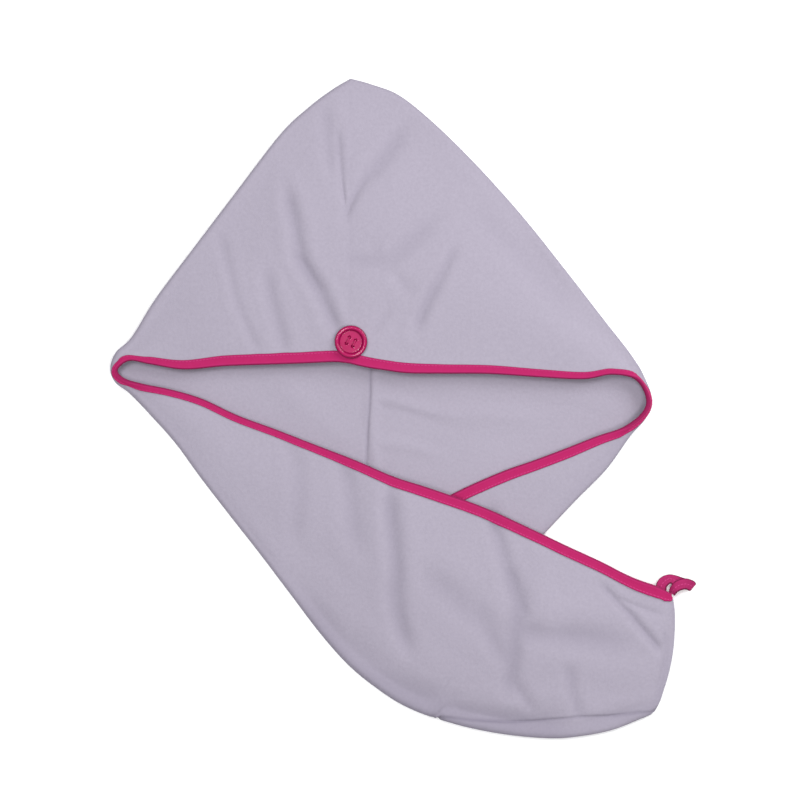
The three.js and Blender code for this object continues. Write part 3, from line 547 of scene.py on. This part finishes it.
def panel(name, rows, normals, turn, material):
    """The grid moved out and in by half the cloth along its normals, pinched to a third at the
    seam, and closed by a wall along its four edges."""
    seam = seam_share(rows)
    half = half_cloth * (1 - seam_pinch * seam)
    outer, inner = rows + normals * half[..., None], rows - normals * half[..., None]
    points = np.concatenate([outer.reshape(-1, 3), inner.reshape(-1, 3)])
    points[:, 2] = np.maximum(points[:, 2], 0)
    count, width = rows.shape[:2]
    k = np.arange(count * width).reshape(count, width)
    edge = np.concatenate([k[:-1, 0], k[-1, :-1], k[:0:-1, -1], k[0, :0:-1]])
    then, other = np.roll(edge, -1), count * width
    walls = np.stack([then, edge, edge + other, then + other], axis=-1)
    faces = grid_faces(count, width)
    faces = np.concatenate([faces, faces[:, ::-1] + other, walls])
    # Painted shade: the depth of the fold valleys as a share, on upward faces only; the turn share
    # is the painted shade round the turned edge
    valley = np.clip(folds_at(rows[..., :2], upper_folds) / deep_fold, 0, 1)
    valley = valley * (normals[..., 2] > 0)
    shades = {key: np.concatenate([share.ravel()] * 2)
              for key, share in (("seam", seam), ("valley", valley), ("turn", turn))}
    return solid(name, points, faces, material, **shades)


def group(name, inputs, outputs):
    """An empty node group with float, colour or vector sockets, and its input and output nodes."""
    tree = bpy.data.node_groups.new(name, "ShaderNodeTree")
    for way, sockets in (("INPUT", inputs), ("OUTPUT", outputs)):
        for label, kind, value in sockets:
            socket = tree.interface.new_socket(label, in_out=way, socket_type="NodeSocket" + kind)
            if value is not None:
                socket.default_value = value
    return tree, tree.nodes.new("NodeGroupInput"), tree.nodes.new("NodeGroupOutput")


def node(tree, kind, links=(), settings=(), **inputs):
    """A node with its settings and input values, linked from the given output sockets."""
    made = tree.nodes.new("ShaderNode" + kind)
    for key, value in dict(settings).items():
        setattr(made, key, value)
    for key, value in inputs.items():
        made.inputs[key.replace("_", " ")].default_value = value
    for key, source in dict(links).items():
        tree.links.new(source, made.inputs[key])
    return made


def calc(tree, operation, first, second):
    """One sum: each side is a number or an output socket."""
    made = node(tree, "Math", settings={"operation": operation})
    for place, value in enumerate((first, second)):
        if isinstance(value, (int, float)):
            made.inputs[place].default_value = value
        else:
            tree.links.new(value, made.inputs[place])
    return made.outputs[0]


def tint(tree, factor, first, second):
    """A colour a share of the way from the first to the second, each a colour or a socket."""
    mixed = node(tree, "Mix", settings={"data_type": "RGBA"})
    for place, value in ((0, factor), (6, first), (7, second)):
        if isinstance(value, (float, tuple)):
            mixed.inputs[place].default_value = value
        else:
            tree.links.new(value, mixed.inputs[place])
    return mixed.outputs[2]


def plain_material(name, **values):
    """A material whose main shader has the given values, with its node tree and that shader."""
    made = bpy.data.materials.new(name)
    made.use_nodes = True
    shader = made.node_tree.nodes["Principled BSDF"]
    for key, value in values.items():
        shader.inputs[key.replace("_", " ")].default_value = value
    return made, made.node_tree, shader


def nap_group():
    """Brushed pile: colour and height from a broad cloud, soft tufts and fine fibres that lie one
    way."""
    tree, given, made = group("brushed pile", [
        ("Colour", "Color", (0.5, 0.45, 0.55, 1)), ("Deep", "Color", (0.4, 0.36, 0.45, 1)),
        ("Tuft size", "Float", 420.0), ("Cloud", "Float", 0.3)],
        [("Colour", "Color", None), ("Height", "Float", None)])
    place = node(tree, "TexCoord").outputs["Object"]
    combed = node(tree, "Mapping", {"Vector": place}, Scale=(1.0, 0.45, 1.0), Rotation=(0, 0, 0.5))
    cloud = node(tree, "TexNoise", {"Vector": place}, Scale=16.0, Detail=3.0, Roughness=0.5)
    tufts = node(tree, "TexNoise", {"Vector": place, "Scale": given.outputs["Tuft size"]},
                 Detail=3.0, Roughness=0.6)
    fibres = node(tree, "TexNoise", {"Vector": combed.outputs[0]}, Scale=2600.0, Detail=4.0,
                  Roughness=0.7)
    small = calc(tree, "ADD", calc(tree, "MULTIPLY", tufts.outputs[0], 0.55),
                 calc(tree, "MULTIPLY", fibres.outputs[0], 0.45))
    broad = calc(tree, "MULTIPLY", calc(tree, "SUBTRACT", cloud.outputs[0], 0.5),
                 given.outputs["Cloud"])
    tone = node(tree, "MapRange", {"Value": small}, From_Min=0.33, From_Max=0.66).outputs[0]
    tone = calc(tree, "ADD", tone, broad)
    mixed = tint(tree, tone, given.outputs["Deep"], given.outputs["Colour"])
    tree.links.new(mixed, made.inputs["Colour"])
    tree.links.new(small, made.inputs["Height"])
    return tree


# Dark tone for the seam line and for the painted shade in the fold valleys and round the turned
# edge
fleece_seam_and_shade_tone = (0.20, 0.18, 0.24, 1)


def fleece_material(name, colour, deep):
    """Matte fleece, darker in the groove of the seam, with painted shade in the valleys of the
    folds and round the turned edge."""
    made, tree, shader = plain_material(name, Roughness=0.95, Specular_IOR_Level=0.12,
                                        Sheen_Weight=0.06, Sheen_Roughness=0.45)
    pile = node(tree, "Group", settings={"node_tree": brushed_pile}, Colour=colour, Deep=deep)
    seam_and_painted_shade = 0.0
    # Painted shade from the valley and turn shares; the seam share darkens the sewn seam line
    for key, share in (("seam", 0.3), ("valley", 0.30), ("turn", 0.42)):
        shade = node(tree, "Attribute", settings={"attribute_name": key}).outputs["Fac"]
        seam_and_painted_shade = calc(tree, "ADD", seam_and_painted_shade, calc(tree, "MULTIPLY", shade, share))
    dark = tint(tree, seam_and_painted_shade, pile.outputs["Colour"], fleece_seam_and_shade_tone)
    tree.links.new(dark, shader.inputs["Base Color"])
    raised = node(tree, "Bump", {"Height": pile.outputs["Height"]}, Strength=0.55, Distance=0.0005)
    tree.links.new(raised.outputs[0], shader.inputs["Normal"])
    return made


brushed_pile = nap_group()
fleece = fleece_material("lilac grey fleece", (0.392, 0.360, 0.439, 1), (0.345, 0.315, 0.388, 1))
left_panel = panel("left_fleece_panel", left_rows, left_normals, left_rim_shade, fleece)
right_panel = panel("right_fleece_panel", right_rows, right_normals, right_rim_shade, fleece)
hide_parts("left_panel")
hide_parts("right_panel")

# The binding: a soft elastic tape folded over the mouth edge of both panels and stitched down along
# its free edge. It runs from the tip of the tail round the mouth and back to the tip. It was pulled
# tighter round the corners of the mouth, where less of it shows on the outer face.
rows = np.concatenate([left_rows[::-1], right_rows[1:]])
normals = np.concatenate([left_normals[::-1], right_normals[1:]])
lip, lip_normal = rows[:, -1], normals[:, -1]
lip_along = unit(np.gradient(lip, axis=0))
lip_out = unit(np.cross(lip_along, lip_normal))
lip_out *= np.sign(np.sum(lip_out * (lip - rows[:, -3]), axis=1))[:, None]
lip_length = np.concatenate([[0], np.cumsum(np.linalg.norm(np.diff(lip, axis=0), axis=1))])


thin_share, hem_rise, fold_rise, pucker_rise = 0.62, 0.55, 0.35, 0.09
pucker_length, pucker_beat = 0.0017, 0.0131


def tape_shell(inner):
    """One skin of the folded tape: up the outer face, round the edge in half an ellipse, and down
    the inner face. The outer skin is thicker along the stitched hem and at the fold and puckers a
    little, less so where little of the tape shows."""
    share = np.linspace(0, 1, bound_columns + 1)
    stand = half_cloth + tape_gap
    face = rows[:, -bound_columns - 1:]
    if not inner:
        shown = np.linalg.norm(face[:, -1] - face[:, 0], axis=1)[:, None] / tape_width
        hem = hem_rise * np.exp(-((share - 0.10) / 0.09) ** 2)
        hem = hem + fold_rise * np.exp(-((share - 0.95) / 0.2) ** 2)
        pucker = np.sin(lip_length / pucker_length) * np.sin(lip_length / pucker_beat + 1)
        pucker = (pucker * pucker_rise)[:, None] * np.sin(np.pi * share)
        stand = stand + tape_thickness * (thin_share + np.minimum(shown, 1) ** 2 * (hem + pucker))
    else:
        stand = np.full((len(rows), bound_columns + 1), stand)
    face_normal = normals[:, -bound_columns - 1:]
    outer, under = face + face_normal * stand[..., None], face - face_normal * stand[..., None]
    angle = np.linspace(np.pi / 2, -np.pi / 2, 11)[1:-1]
    nose = tape_gap + (0 if inner else tape_thickness)
    end = stand[:, -1][:, None, None]
    turned = (lip[:, None] + lip_out[:, None] * (nose * np.cos(angle))[:, None]
              + lip_normal[:, None] * (end * np.sin(angle)[:, None]))
    return np.concatenate([outer, turned, under[:, ::-1]], axis=1)


def swept(outlines, paired=False):
    """The skin of a profile carried along a path, closed at both ends by a fan, or where the
    profile is two lines side by side by a strip between them."""
    count, around = outlines.shape[:2]
    a = np.arange(count * around).reshape(count, around)
    b = np.roll(a, -1, axis=1)
    faces = [np.stack([a[:-1], b[:-1], b[1:], a[1:]], axis=-1).reshape(-1, 4)]
    points = outlines.reshape(-1, 3)
    if paired:
        k = np.arange(around // 2 - 1)
        strip = np.stack([k, k + 1, around - 2 - k, around - 1 - k], axis=-1)
        faces += [strip[:, ::-1], strip + a[-1, 0]]
    else:
        points = np.concatenate([points, outlines[[0, -1]].mean(axis=1)])
        for end, first, second in ((0, b[0], a[0]), (1, a[-1], b[-1])):
            middle = np.full(around, count * around + end)
            faces.append(np.stack([first, second, middle, middle], axis=-1))
    return points, np.concatenate(faces)


# Radians a metre along the tape, for a stitch each 2.7 mm and a rib each 0.7 mm, and across it
dash_rate, rib_rate, cross_rate = 2300.0, 8800.0, 80.0


def tape_group():
    """A ribbed tape with its hem colour on both sides and at the fold, a painted highlight on the
    binding and painted shade on the loop, a line of stitches and painted shade along both edges:
    colour and height from the length along the tape in metres and the share across it."""
    tree, given, made = group("ribbed tape", [
        ("Colour", "Color", (0.5, 0.03, 0.14, 1)), ("Hem", "Color", (0.7, 0.06, 0.24, 1)),
        ("Stitch place", "Float", 0.2), ("Stitch", "Color", (0.8, 0.12, 0.32, 1)),
        ("Hem place", "Float", 0.06), ("Hem share", "Float", 0.45),
        ("Edge", "Color", (0.1, 0.003, 0.03, 1)), ("Edge share", "Float", 0.45)],
        [("Colour", "Color", None), ("Height", "Float", None)])
    at = node(tree, "SeparateXYZ", {"Vector": node(tree, "UVMap", settings={
        "uv_map": "along"}).outputs[0]})
    length, across = at.outputs["X"], at.outputs["Y"]

    def line(place, wide, narrow):
        away = calc(tree, "ABSOLUTE", calc(tree, "SUBTRACT", across, place), 0)
        return node(tree, "MapRange", {"Value": away}, {"interpolation_type": "SMOOTHSTEP"},
                    From_Min=wide, From_Max=narrow).outputs[0]

    dash = calc(tree, "SINE", calc(tree, "MULTIPLY", length, dash_rate), 0)
    dash = calc(tree, "GREATER_THAN", dash, -0.45)
    stitch = calc(tree, "MULTIPLY", line(given.outputs["Stitch place"], 0.05, 0.02), dash)
    # Hem: painted highlight where the raised hem and the fold catch the light, or painted shade
    # where the hem colour is dark
    hem = line(given.outputs["Hem place"], 0.10, 0.02)
    hem = calc(tree, "MAXIMUM", hem, line(0.97, 0.16, 0.03))
    ribs = calc(tree, "MULTIPLY", calc(tree, "SINE", calc(tree, "MULTIPLY", across, cross_rate), 0),
                calc(tree, "SINE", calc(tree, "MULTIPLY", length, rib_rate), 0))
    place = node(tree, "TexCoord").outputs["Object"]
    cloud = node(tree, "TexNoise", {"Vector": place}, Scale=260.0, Detail=4.0, Roughness=0.65)
    tone = node(tree, "MapRange", {"Value": cloud.outputs[0]}, From_Min=0.3, From_Max=0.7,
                To_Min=0.0, To_Max=0.3).outputs[0]
    light = calc(tree, "ADD", calc(tree, "MULTIPLY", hem, given.outputs["Hem share"]), tone)
    colour = tint(tree, light, given.outputs["Colour"], given.outputs["Hem"])
    colour = tint(tree, calc(tree, "MULTIPLY", stitch, 0.7), colour, given.outputs["Stitch"])
    # Painted shade along the free edge and along the turned nose
    edge = calc(tree, "MAXIMUM", line(0.0, 0.10, 0.03), line(1.0, 0.05, 0.0))
    edge = calc(tree, "MULTIPLY", edge, given.outputs["Edge share"])
    colour = tint(tree, edge, colour, given.outputs["Edge"])
    height = calc(tree, "ADD", calc(tree, "MULTIPLY", ribs, 0.16),
                  calc(tree, "MULTIPLY", stitch, 0.8))
    height = calc(tree, "ADD", height, calc(tree, "MULTIPLY", cloud.outputs[0], 0.8))
    tree.links.new(colour, made.inputs["Colour"])
    tree.links.new(height, made.inputs["Height"])
    return tree


def tape_material(name, colour, hem, stitch, stitch_place, hem_place, hem_share):
    """Matte woven tape with a faint sheen."""
    made, tree, shader = plain_material(name, Roughness=0.75, Specular_IOR_Level=0.15,
                                        Sheen_Weight=0.05, Sheen_Roughness=0.4)
    weave = node(tree, "Group", settings={"node_tree": ribbed_tape}, Colour=colour, Hem=hem,
                 Stitch=stitch, Stitch_place=stitch_place, Hem_place=hem_place, Hem_share=hem_share)
    tree.links.new(weave.outputs["Colour"], shader.inputs["Base Color"])
    raised = node(tree, "Bump", {"Height": weave.outputs["Height"]}, Strength=0.6, Distance=0.0003)
    tree.links.new(raised.outputs[0], shader.inputs["Normal"])
    return made


ribbed_tape = tape_group()
# The hem colour is a painted highlight on the raised hem and on the fold
magenta, magenta_hem_highlight = (0.42, 0.012, 0.108, 1), (0.47, 0.022, 0.145, 1)
magenta_stitch = (0.58, 0.06, 0.23, 1)
tape = tape_material("magenta binding tape", magenta, magenta_hem_highlight, magenta_stitch, 0.2, 0.06, 0.45)
outlines = np.concatenate([tape_shell(False), tape_shell(True)[:, ::-1]], axis=1)
least_height = 0.0001
outlines[..., 2] = np.maximum(outlines[..., 2], least_height)
skin = outlines.shape[1] // 2
share = np.linspace(0, 1, bound_columns + 1)
across = np.concatenate([share, np.ones(skin - 2 * len(share)), share[::-1]])
across = np.concatenate([across, across[::-1]])
tape_uv = np.stack(np.broadcast_arrays(lip_length[:, None], across[None]), axis=-1).reshape(-1, 2)
points, faces = swept(outlines, paired=True)
mouth_binding = solid("mouth_binding_tape", points, faces, tape, tape_uv)
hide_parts("mouth_binding")

# The button: a turned four-hole button of glossy magenta polyester, with a round rim and a dished
# middle. It lies on the binding in the middle of the mouth's upper edge.
button_low, button_high = (np.array(corner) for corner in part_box("button"))
button_middle = (button_low + button_high) / 2
button_radius = (button_high[0] - button_low[0]) / 2
button_height = button_high[2] - button_low[2]
hole_spacing, hole_radius, well_depth = 0.0054, 0.0012, 0.0018
profile_steps, top_steps, button_around = 190, 60, 192
button_turn = math.radians(-25)
hole_spots = hole_spacing / math.sqrt(2) * np.stack([
    np.cos(button_turn + np.pi / 4 + np.arange(4) * np.pi / 2),
    np.sin(button_turn + np.pi / 4 + np.arange(4) * np.pi / 2)], axis=-1)
# Columns: share of the radius and share of the height, from the middle of the dish over the rim
button_profile = np.array([
    [0.00, 0.56], [0.30, 0.56], [0.60, 0.565], [0.68, 0.60], [0.725, 0.78], [0.775, 0.93],
    [0.85, 1.00], [0.93, 0.93], [0.985, 0.74], [1.00, 0.50], [0.975, 0.24], [0.90, 0.06],
    [0.80, 0.00], [0.40, 0.00], [0.00, 0.00],
])


def button_skin():
    """The profile turned round the middle, with a well at each hole whose wall is an eased step."""
    line = table_at(button_profile, np.linspace(0, len(button_profile) - 1, profile_steps))
    angle = np.linspace(0, 2 * np.pi, button_around + 1)[:-1]
    radius, height = line[:, 0, None] * button_radius, line[:, 1, None] * button_height
    points = np.stack([radius * np.cos(angle), radius * np.sin(angle),
                       height + np.zeros_like(angle)], axis=-1)
    away = np.linalg.norm(points[..., None, :2] - hole_spots, axis=-1).min(axis=-1)
    on_top = (np.arange(profile_steps) < top_steps)[:, None]
    well = 1 - ease((away - 0.7 * hole_radius) / (0.5 * hole_radius))
    points[..., 2] -= on_top * well_depth * well
    return points + [button_middle[0], button_middle[1], button_low[2]]


def button_material():
    """Glossy cast polyester with a faint cloud in its colour, painted shade at the foot of the rim
    and on the outer side, and fine turning marks in its polish."""
    made, tree, shader = plain_material("glossy magenta button", Specular_IOR_Level=0.12,
                                        Coat_Weight=0.45, Coat_Roughness=0.09)
    place = node(tree, "TexCoord").outputs["Object"]
    centre = (-button_middle[0], -button_middle[1], 0)
    centred = node(tree, "Mapping", {"Vector": place}, Location=centre)
    at = node(tree, "SeparateXYZ", {"Vector": centred.outputs[0]})
    out = calc(tree, "SQRT", calc(tree, "ADD", calc(tree, "POWER", at.outputs["X"], 2.0),
                                  calc(tree, "POWER", at.outputs["Y"], 2.0)), 0)
    turned = calc(tree, "SINE", calc(tree, "MULTIPLY", out, 16000.0), 0)
    cloud = node(tree, "TexNoise", {"Vector": place}, Scale=130.0, Detail=3.0)
    colour = tint(tree, cloud.outputs[0], (0.34, 0.002, 0.070, 1), (0.44, 0.006, 0.108, 1))
    # Painted shade in the recess at the foot of the rim
    foot = calc(tree, "ABSOLUTE", calc(tree, "SUBTRACT", out, 0.71 * button_radius), 0)
    foot = node(tree, "MapRange", {"Value": foot}, {"interpolation_type": "SMOOTHSTEP"},
                From_Min=0.09 * button_radius, From_Max=0.02 * button_radius,
                To_Max=0.55).outputs[0]
    # Painted shade on the outer side of the rim, which turns away from the light
    side = node(tree, "MapRange", {"Value": out}, {"interpolation_type": "SMOOTHSTEP"},
                From_Min=0.90 * button_radius, From_Max=1.0 * button_radius, To_Max=0.75).outputs[0]
    colour = tint(tree, calc(tree, "MAXIMUM", foot, side), colour, (0.16, 0.0, 0.03, 1))
    tree.links.new(colour, shader.inputs["Base Color"])
    rough = node(tree, "MapRange", {"Value": cloud.outputs[0]}, To_Min=0.3, To_Max=0.4).outputs[0]
    tree.links.new(rough, shader.inputs["Roughness"])
    raised = node(tree, "Bump", {"Height": turned}, Strength=0.08, Distance=0.0001)
    tree.links.new(raised.outputs[0], shader.inputs["Normal"])
    return made


points, faces = swept(button_skin())
button = solid("four_hole_button", points, faces, button_material())
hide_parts("button")

# The sewing thread: two stitches of twisted magenta thread, side by side through the four holes, on
# a short wound shank that holds the button to the cloth.
thread_low, thread_high = (np.array(corner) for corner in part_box("button_thread"))
strand_radius, strand_offset, shank_strand = 0.00036, 0.00038, 0.0004
stitch_sink, stitch_drop, stitch_twist = 0.0009, 0.0016, 5.5


def tube(path, radius, around=10):
    """A round profile carried along a path, upright to it."""
    along = unit(np.gradient(path, axis=0))
    side = unit(np.cross(along, [0.31, 0.17, 0.93]))
    over = np.cross(along, side)
    angle = np.linspace(0, 2 * np.pi, around + 1)[:-1]
    round_it = np.cos(angle)[:, None] * side[:, None] + np.sin(angle)[:, None] * over[:, None]
    return path[:, None] + radius * round_it


def stitch_path(start, end, turn, offset):
    """From one hole up, over to the next and down: level in the middle and dropping with the sixth
    power of the share along it, wound round its own middle line."""
    t = np.linspace(-1, 1, 61)[:, None]
    along = (start + end) / 2 + (end - start) / 2 * t
    height = thread_high[2] - stitch_sink - stitch_drop * t ** 6
    side = unit(np.array([start[1] - end[1], end[0] - start[0]]))
    wound = turn + stitch_twist * t
    xy = along + button_middle[:2] + side * offset * np.cos(wound)
    return np.concatenate([xy, height + offset * np.sin(wound)], axis=1)


def shank_rounds():
    """Thread wound round the middle between the button and the cloth: a helix of 1.6 turns."""
    t = np.linspace(0, 1, 240)
    radius = (thread_high[0] - thread_low[0]) / 2 - 0.0006
    angle = 2 * np.pi * 1.6 * t
    top = button_low[2] - 0.0006
    foot = min(thread_low[2] + 0.0004, top)
    return np.stack([button_middle[0] + radius * np.cos(angle),
                     button_middle[1] + radius * np.sin(angle), mix(top, foot, t)], axis=-1)


def join(parts):
    """Several skins as one list of points and faces."""
    points, faces, total = [], [], 0
    for some_points, some_faces in parts:
        points.append(some_points)
        faces.append(some_faces + total)
        total += len(some_points)
    return np.concatenate(points), np.concatenate(faces)


def thread_material():
    """Twisted thread with painted shade between the plies, which run aslant."""
    made, tree, shader = plain_material("magenta thread", Roughness=0.55)
    place = node(tree, "TexCoord").outputs["Object"]
    slanted = node(tree, "Mapping", {"Vector": place}, Rotation=(0.3, 0.4, 0.9))
    plies = node(tree, "TexWave", {"Vector": slanted.outputs[0]}, Scale=420.0, Distortion=1.5,
                 Detail=2.0)
    # Painted shade between the plies, from the same waves that raise them
    colour = tint(tree, plies.outputs["Fac"], (0.30, 0.004, 0.06, 1), (0.60, 0.014, 0.15, 1))
    tree.links.new(colour, shader.inputs["Base Color"])
    raised = node(tree, "Bump", {"Height": plies.outputs["Fac"]}, Strength=0.6, Distance=0.0002)
    tree.links.new(raised.outputs[0], shader.inputs["Normal"])
    return made


strands = [swept(tube(stitch_path(hole_spots[a], hole_spots[b], turn, strand_offset),
                      strand_radius))
           for a, b in ((0, 3), (1, 2)) for turn in (0.0, 2.1, 4.2)]
strands.append(swept(tube(shank_rounds(), shank_strand)))
points, faces = join(strands)
thread = solid("button_stitches", points, faces, thread_material())
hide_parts("button_thread")

# The loop: a short length of the same tape, folded flat and stitched along its middle. Its two ends
# are caught in the end of the binding at the tip of the tail, and it lies turned back on itself.
loop_width, loop_thickness = tape_width, 0.0012
loop_turn, turn_run, turn_draw = 5, 0.32, 0.22
first_side = [0.6, -0.8, 0]
# Columns: out and over as shares of the loop's reach, height as a share of the mouth's, and the
# tilt in degrees
loop_route = np.array([
    [0.03, 0.02, 0.45, -62],
    [0.16, 0.23, 0.46, -44],
    [0.38, 0.37, 0.43, -22],
    [0.62, 0.41, 0.38, -8],
    [0.80, 0.35, 0.29, 0],
    [0.92, 0.27, 0.18, 0],
    [0.80, 0.35, 0.09, 0],
    [0.50, 0.42, 0.10, 4],
    [0.21, 0.53, 0.13, 20],
    [-0.02, 0.60, 0.22, 40],
    [-0.22, 0.53, 0.33, 28],
    [-0.36, 0.37, 0.385, 6],
    [-0.40, 0.15, 0.388, 0],
])


def loop_skin():
    """A flat profile with round edges carried along the route. Its width stays level across the
    route, turned about it by the tilt, keeps its side where the tape runs upright, and is drawn in
    by a fifth where it turns back."""
    steps = np.linspace(0, len(loop_route) - 1, 201)
    route = table_at(loop_route, steps)
    tip = plan(left_ply[-1, 2:4])
    path = np.concatenate([tip + route[:, 0:2] * loop_reach, route[:, 2:3] * mouth_loft], axis=1)
    along = unit(np.gradient(path, axis=0))
    level = np.stack([along[:, 1], -along[:, 0], np.zeros(len(path))], axis=-1)
    kept = np.where(np.linalg.norm(level, axis=1) > 0.3, np.arange(len(path)), 0)
    level = unit(level)[np.maximum.accumulate(kept)]
    turned = np.sign(np.sum(level[1:] * level[:-1], axis=1))
    side = level * np.cumprod(np.concatenate([[np.sign(level[0] @ first_side)], turned]))[:, None]
    side = unit(side - along * np.sum(side * along, axis=1)[:, None])
    tilt = np.radians(route[:, 3])[:, None]
    across = side * np.cos(tilt) + np.cross(along, side) * np.sin(tilt)
    through = np.cross(along, across)
    angle = np.linspace(0, 2 * np.pi, 37)[:-1]
    wide = np.sign(np.cos(angle)) * np.abs(np.cos(angle)) ** 0.4
    drawn_in = 1 - turn_draw * np.exp(-((steps - loop_turn) / turn_run) ** 2)
    thick = np.sign(np.sin(angle)) * np.abs(np.sin(angle)) ** 0.7 * (0.78 + 0.3 * np.abs(wide) ** 3)
    half_width = drawn_in[:, None] * wide * loop_width / 2
    points = (path[:, None] + across[:, None] * half_width[..., None]
              + through[:, None] * (thick * loop_thickness / 2)[:, None])
    length = np.concatenate([[0], np.cumsum(np.linalg.norm(np.diff(path, axis=0), axis=1))])
    over = (wide + 1)[None] / 2
    uv = np.stack(np.broadcast_arrays(length[:, None], over), axis=-1).reshape(-1, 2)
    return points, np.concatenate([uv, [[0, 0.5], [length[-1], 0.5]]])


# The loop's hem colour is dark: painted shade along both rounded edges
loop_tape = tape_material("magenta loop tape", (0.40, 0.020, 0.125, 1), (0.14, 0.004, 0.040, 1),
                          magenta_stitch, 0.5, 0.0, 0.9)
outlines, loop_uv = loop_skin()
outlines[..., 2] = np.maximum(outlines[..., 2], least_height)
points, faces = swept(outlines)
loop = solid("button_loop_tape", points, faces, loop_tape, loop_uv)
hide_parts("button_loop")

# Every piece rides on the one body. Each panel of the cloth was cut from a strip of 232 by 660 mm,
# narrower towards both ends.
for piece, finish in ((left_panel, "fleece"), (right_panel, "fleece"), (mouth_binding, "binding"),
                      (button, "button"), (thread, "thread"), (loop, "binding")):
    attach(piece, "root")

# The table: a plain sheet of white acrylic that the turban lies on, matt and faintly lit from
# below, so that the ground round the turban stays white
table_size, table_level = 6.0, -0.0003
table_mesh = bpy.data.meshes.new("table_top")
corners = np.array([[-1, -1], [1, -1], [1, 1], [-1, 1]]) * table_size / 2
table_mesh.from_pydata([(x, y, table_level) for x, y in corners.tolist()], [], [(0, 1, 2, 3)])
table_top = bpy.data.objects.new("table_top", table_mesh)
bpy.context.scene.collection.objects.link(table_top)
white = plain_material("white table", Base_Color=(0.94, 0.94, 0.945, 1), Roughness=0.9,
                       Emission_Color=(1.0, 1.0, 1.0, 1), Emission_Strength=0.16)[0]
table_mesh.materials.append(white)

# The light: a pale room, two soft boxes high up near the camera, which keep the shade in the mouth
# light, and a window beyond the right side, aslant over the cloth, that shows the folds
world = bpy.context.scene.world or bpy.data.worlds.new("pale room")
bpy.context.scene.world = world
world.use_nodes = True
world.node_tree.nodes["Background"].inputs["Color"].default_value = (1.0, 1.0, 1.0, 1)
world.node_tree.nodes["Background"].inputs["Strength"].default_value = 0.28


def soft_box(name, place, size, watts):
    """A square area light aimed at the middle of the table."""
    lamp = bpy.data.lights.new(name, "AREA")
    lamp.shape, lamp.size, lamp.energy = "SQUARE", size, watts
    held = bpy.data.objects.new(name, lamp)
    bpy.context.scene.collection.objects.link(held)
    held.location = place
    away = np.array(place) / np.linalg.norm(place)
    held.rotation_euler = (math.acos(away[2]), 0, math.atan2(away[0], -away[1]))


soft_box("soft box to the left", (-0.42, 0.44, 1.95), 0.6, 18)
soft_box("soft box at the near side", (0.30, -0.46, 1.95), 0.6, 13.5)
soft_box("window beyond the right", (0.95, 0.80, 1.05), 0.9, 14.5)

# The camera: straight above, as the photograph was taken, with the turban 640 mm wide in the frame
lens, sensor, frame_width = 85.0, 36.0, 0.640
cloth_top = 0.008
camera_data = bpy.data.cameras.new("camera above")
camera_data.lens, camera_data.sensor_width = lens, sensor
camera = bpy.data.objects.new("camera above", camera_data)
bpy.context.scene.collection.objects.link(camera)
camera.location = (-0.00236, 0.0068, cloth_top + frame_width * lens / sensor)
camera.rotation_euler = (0, 0, 0)
bpy.context.scene.camera = camera
bpy.context.scene.view_settings.view_transform = "Standard"
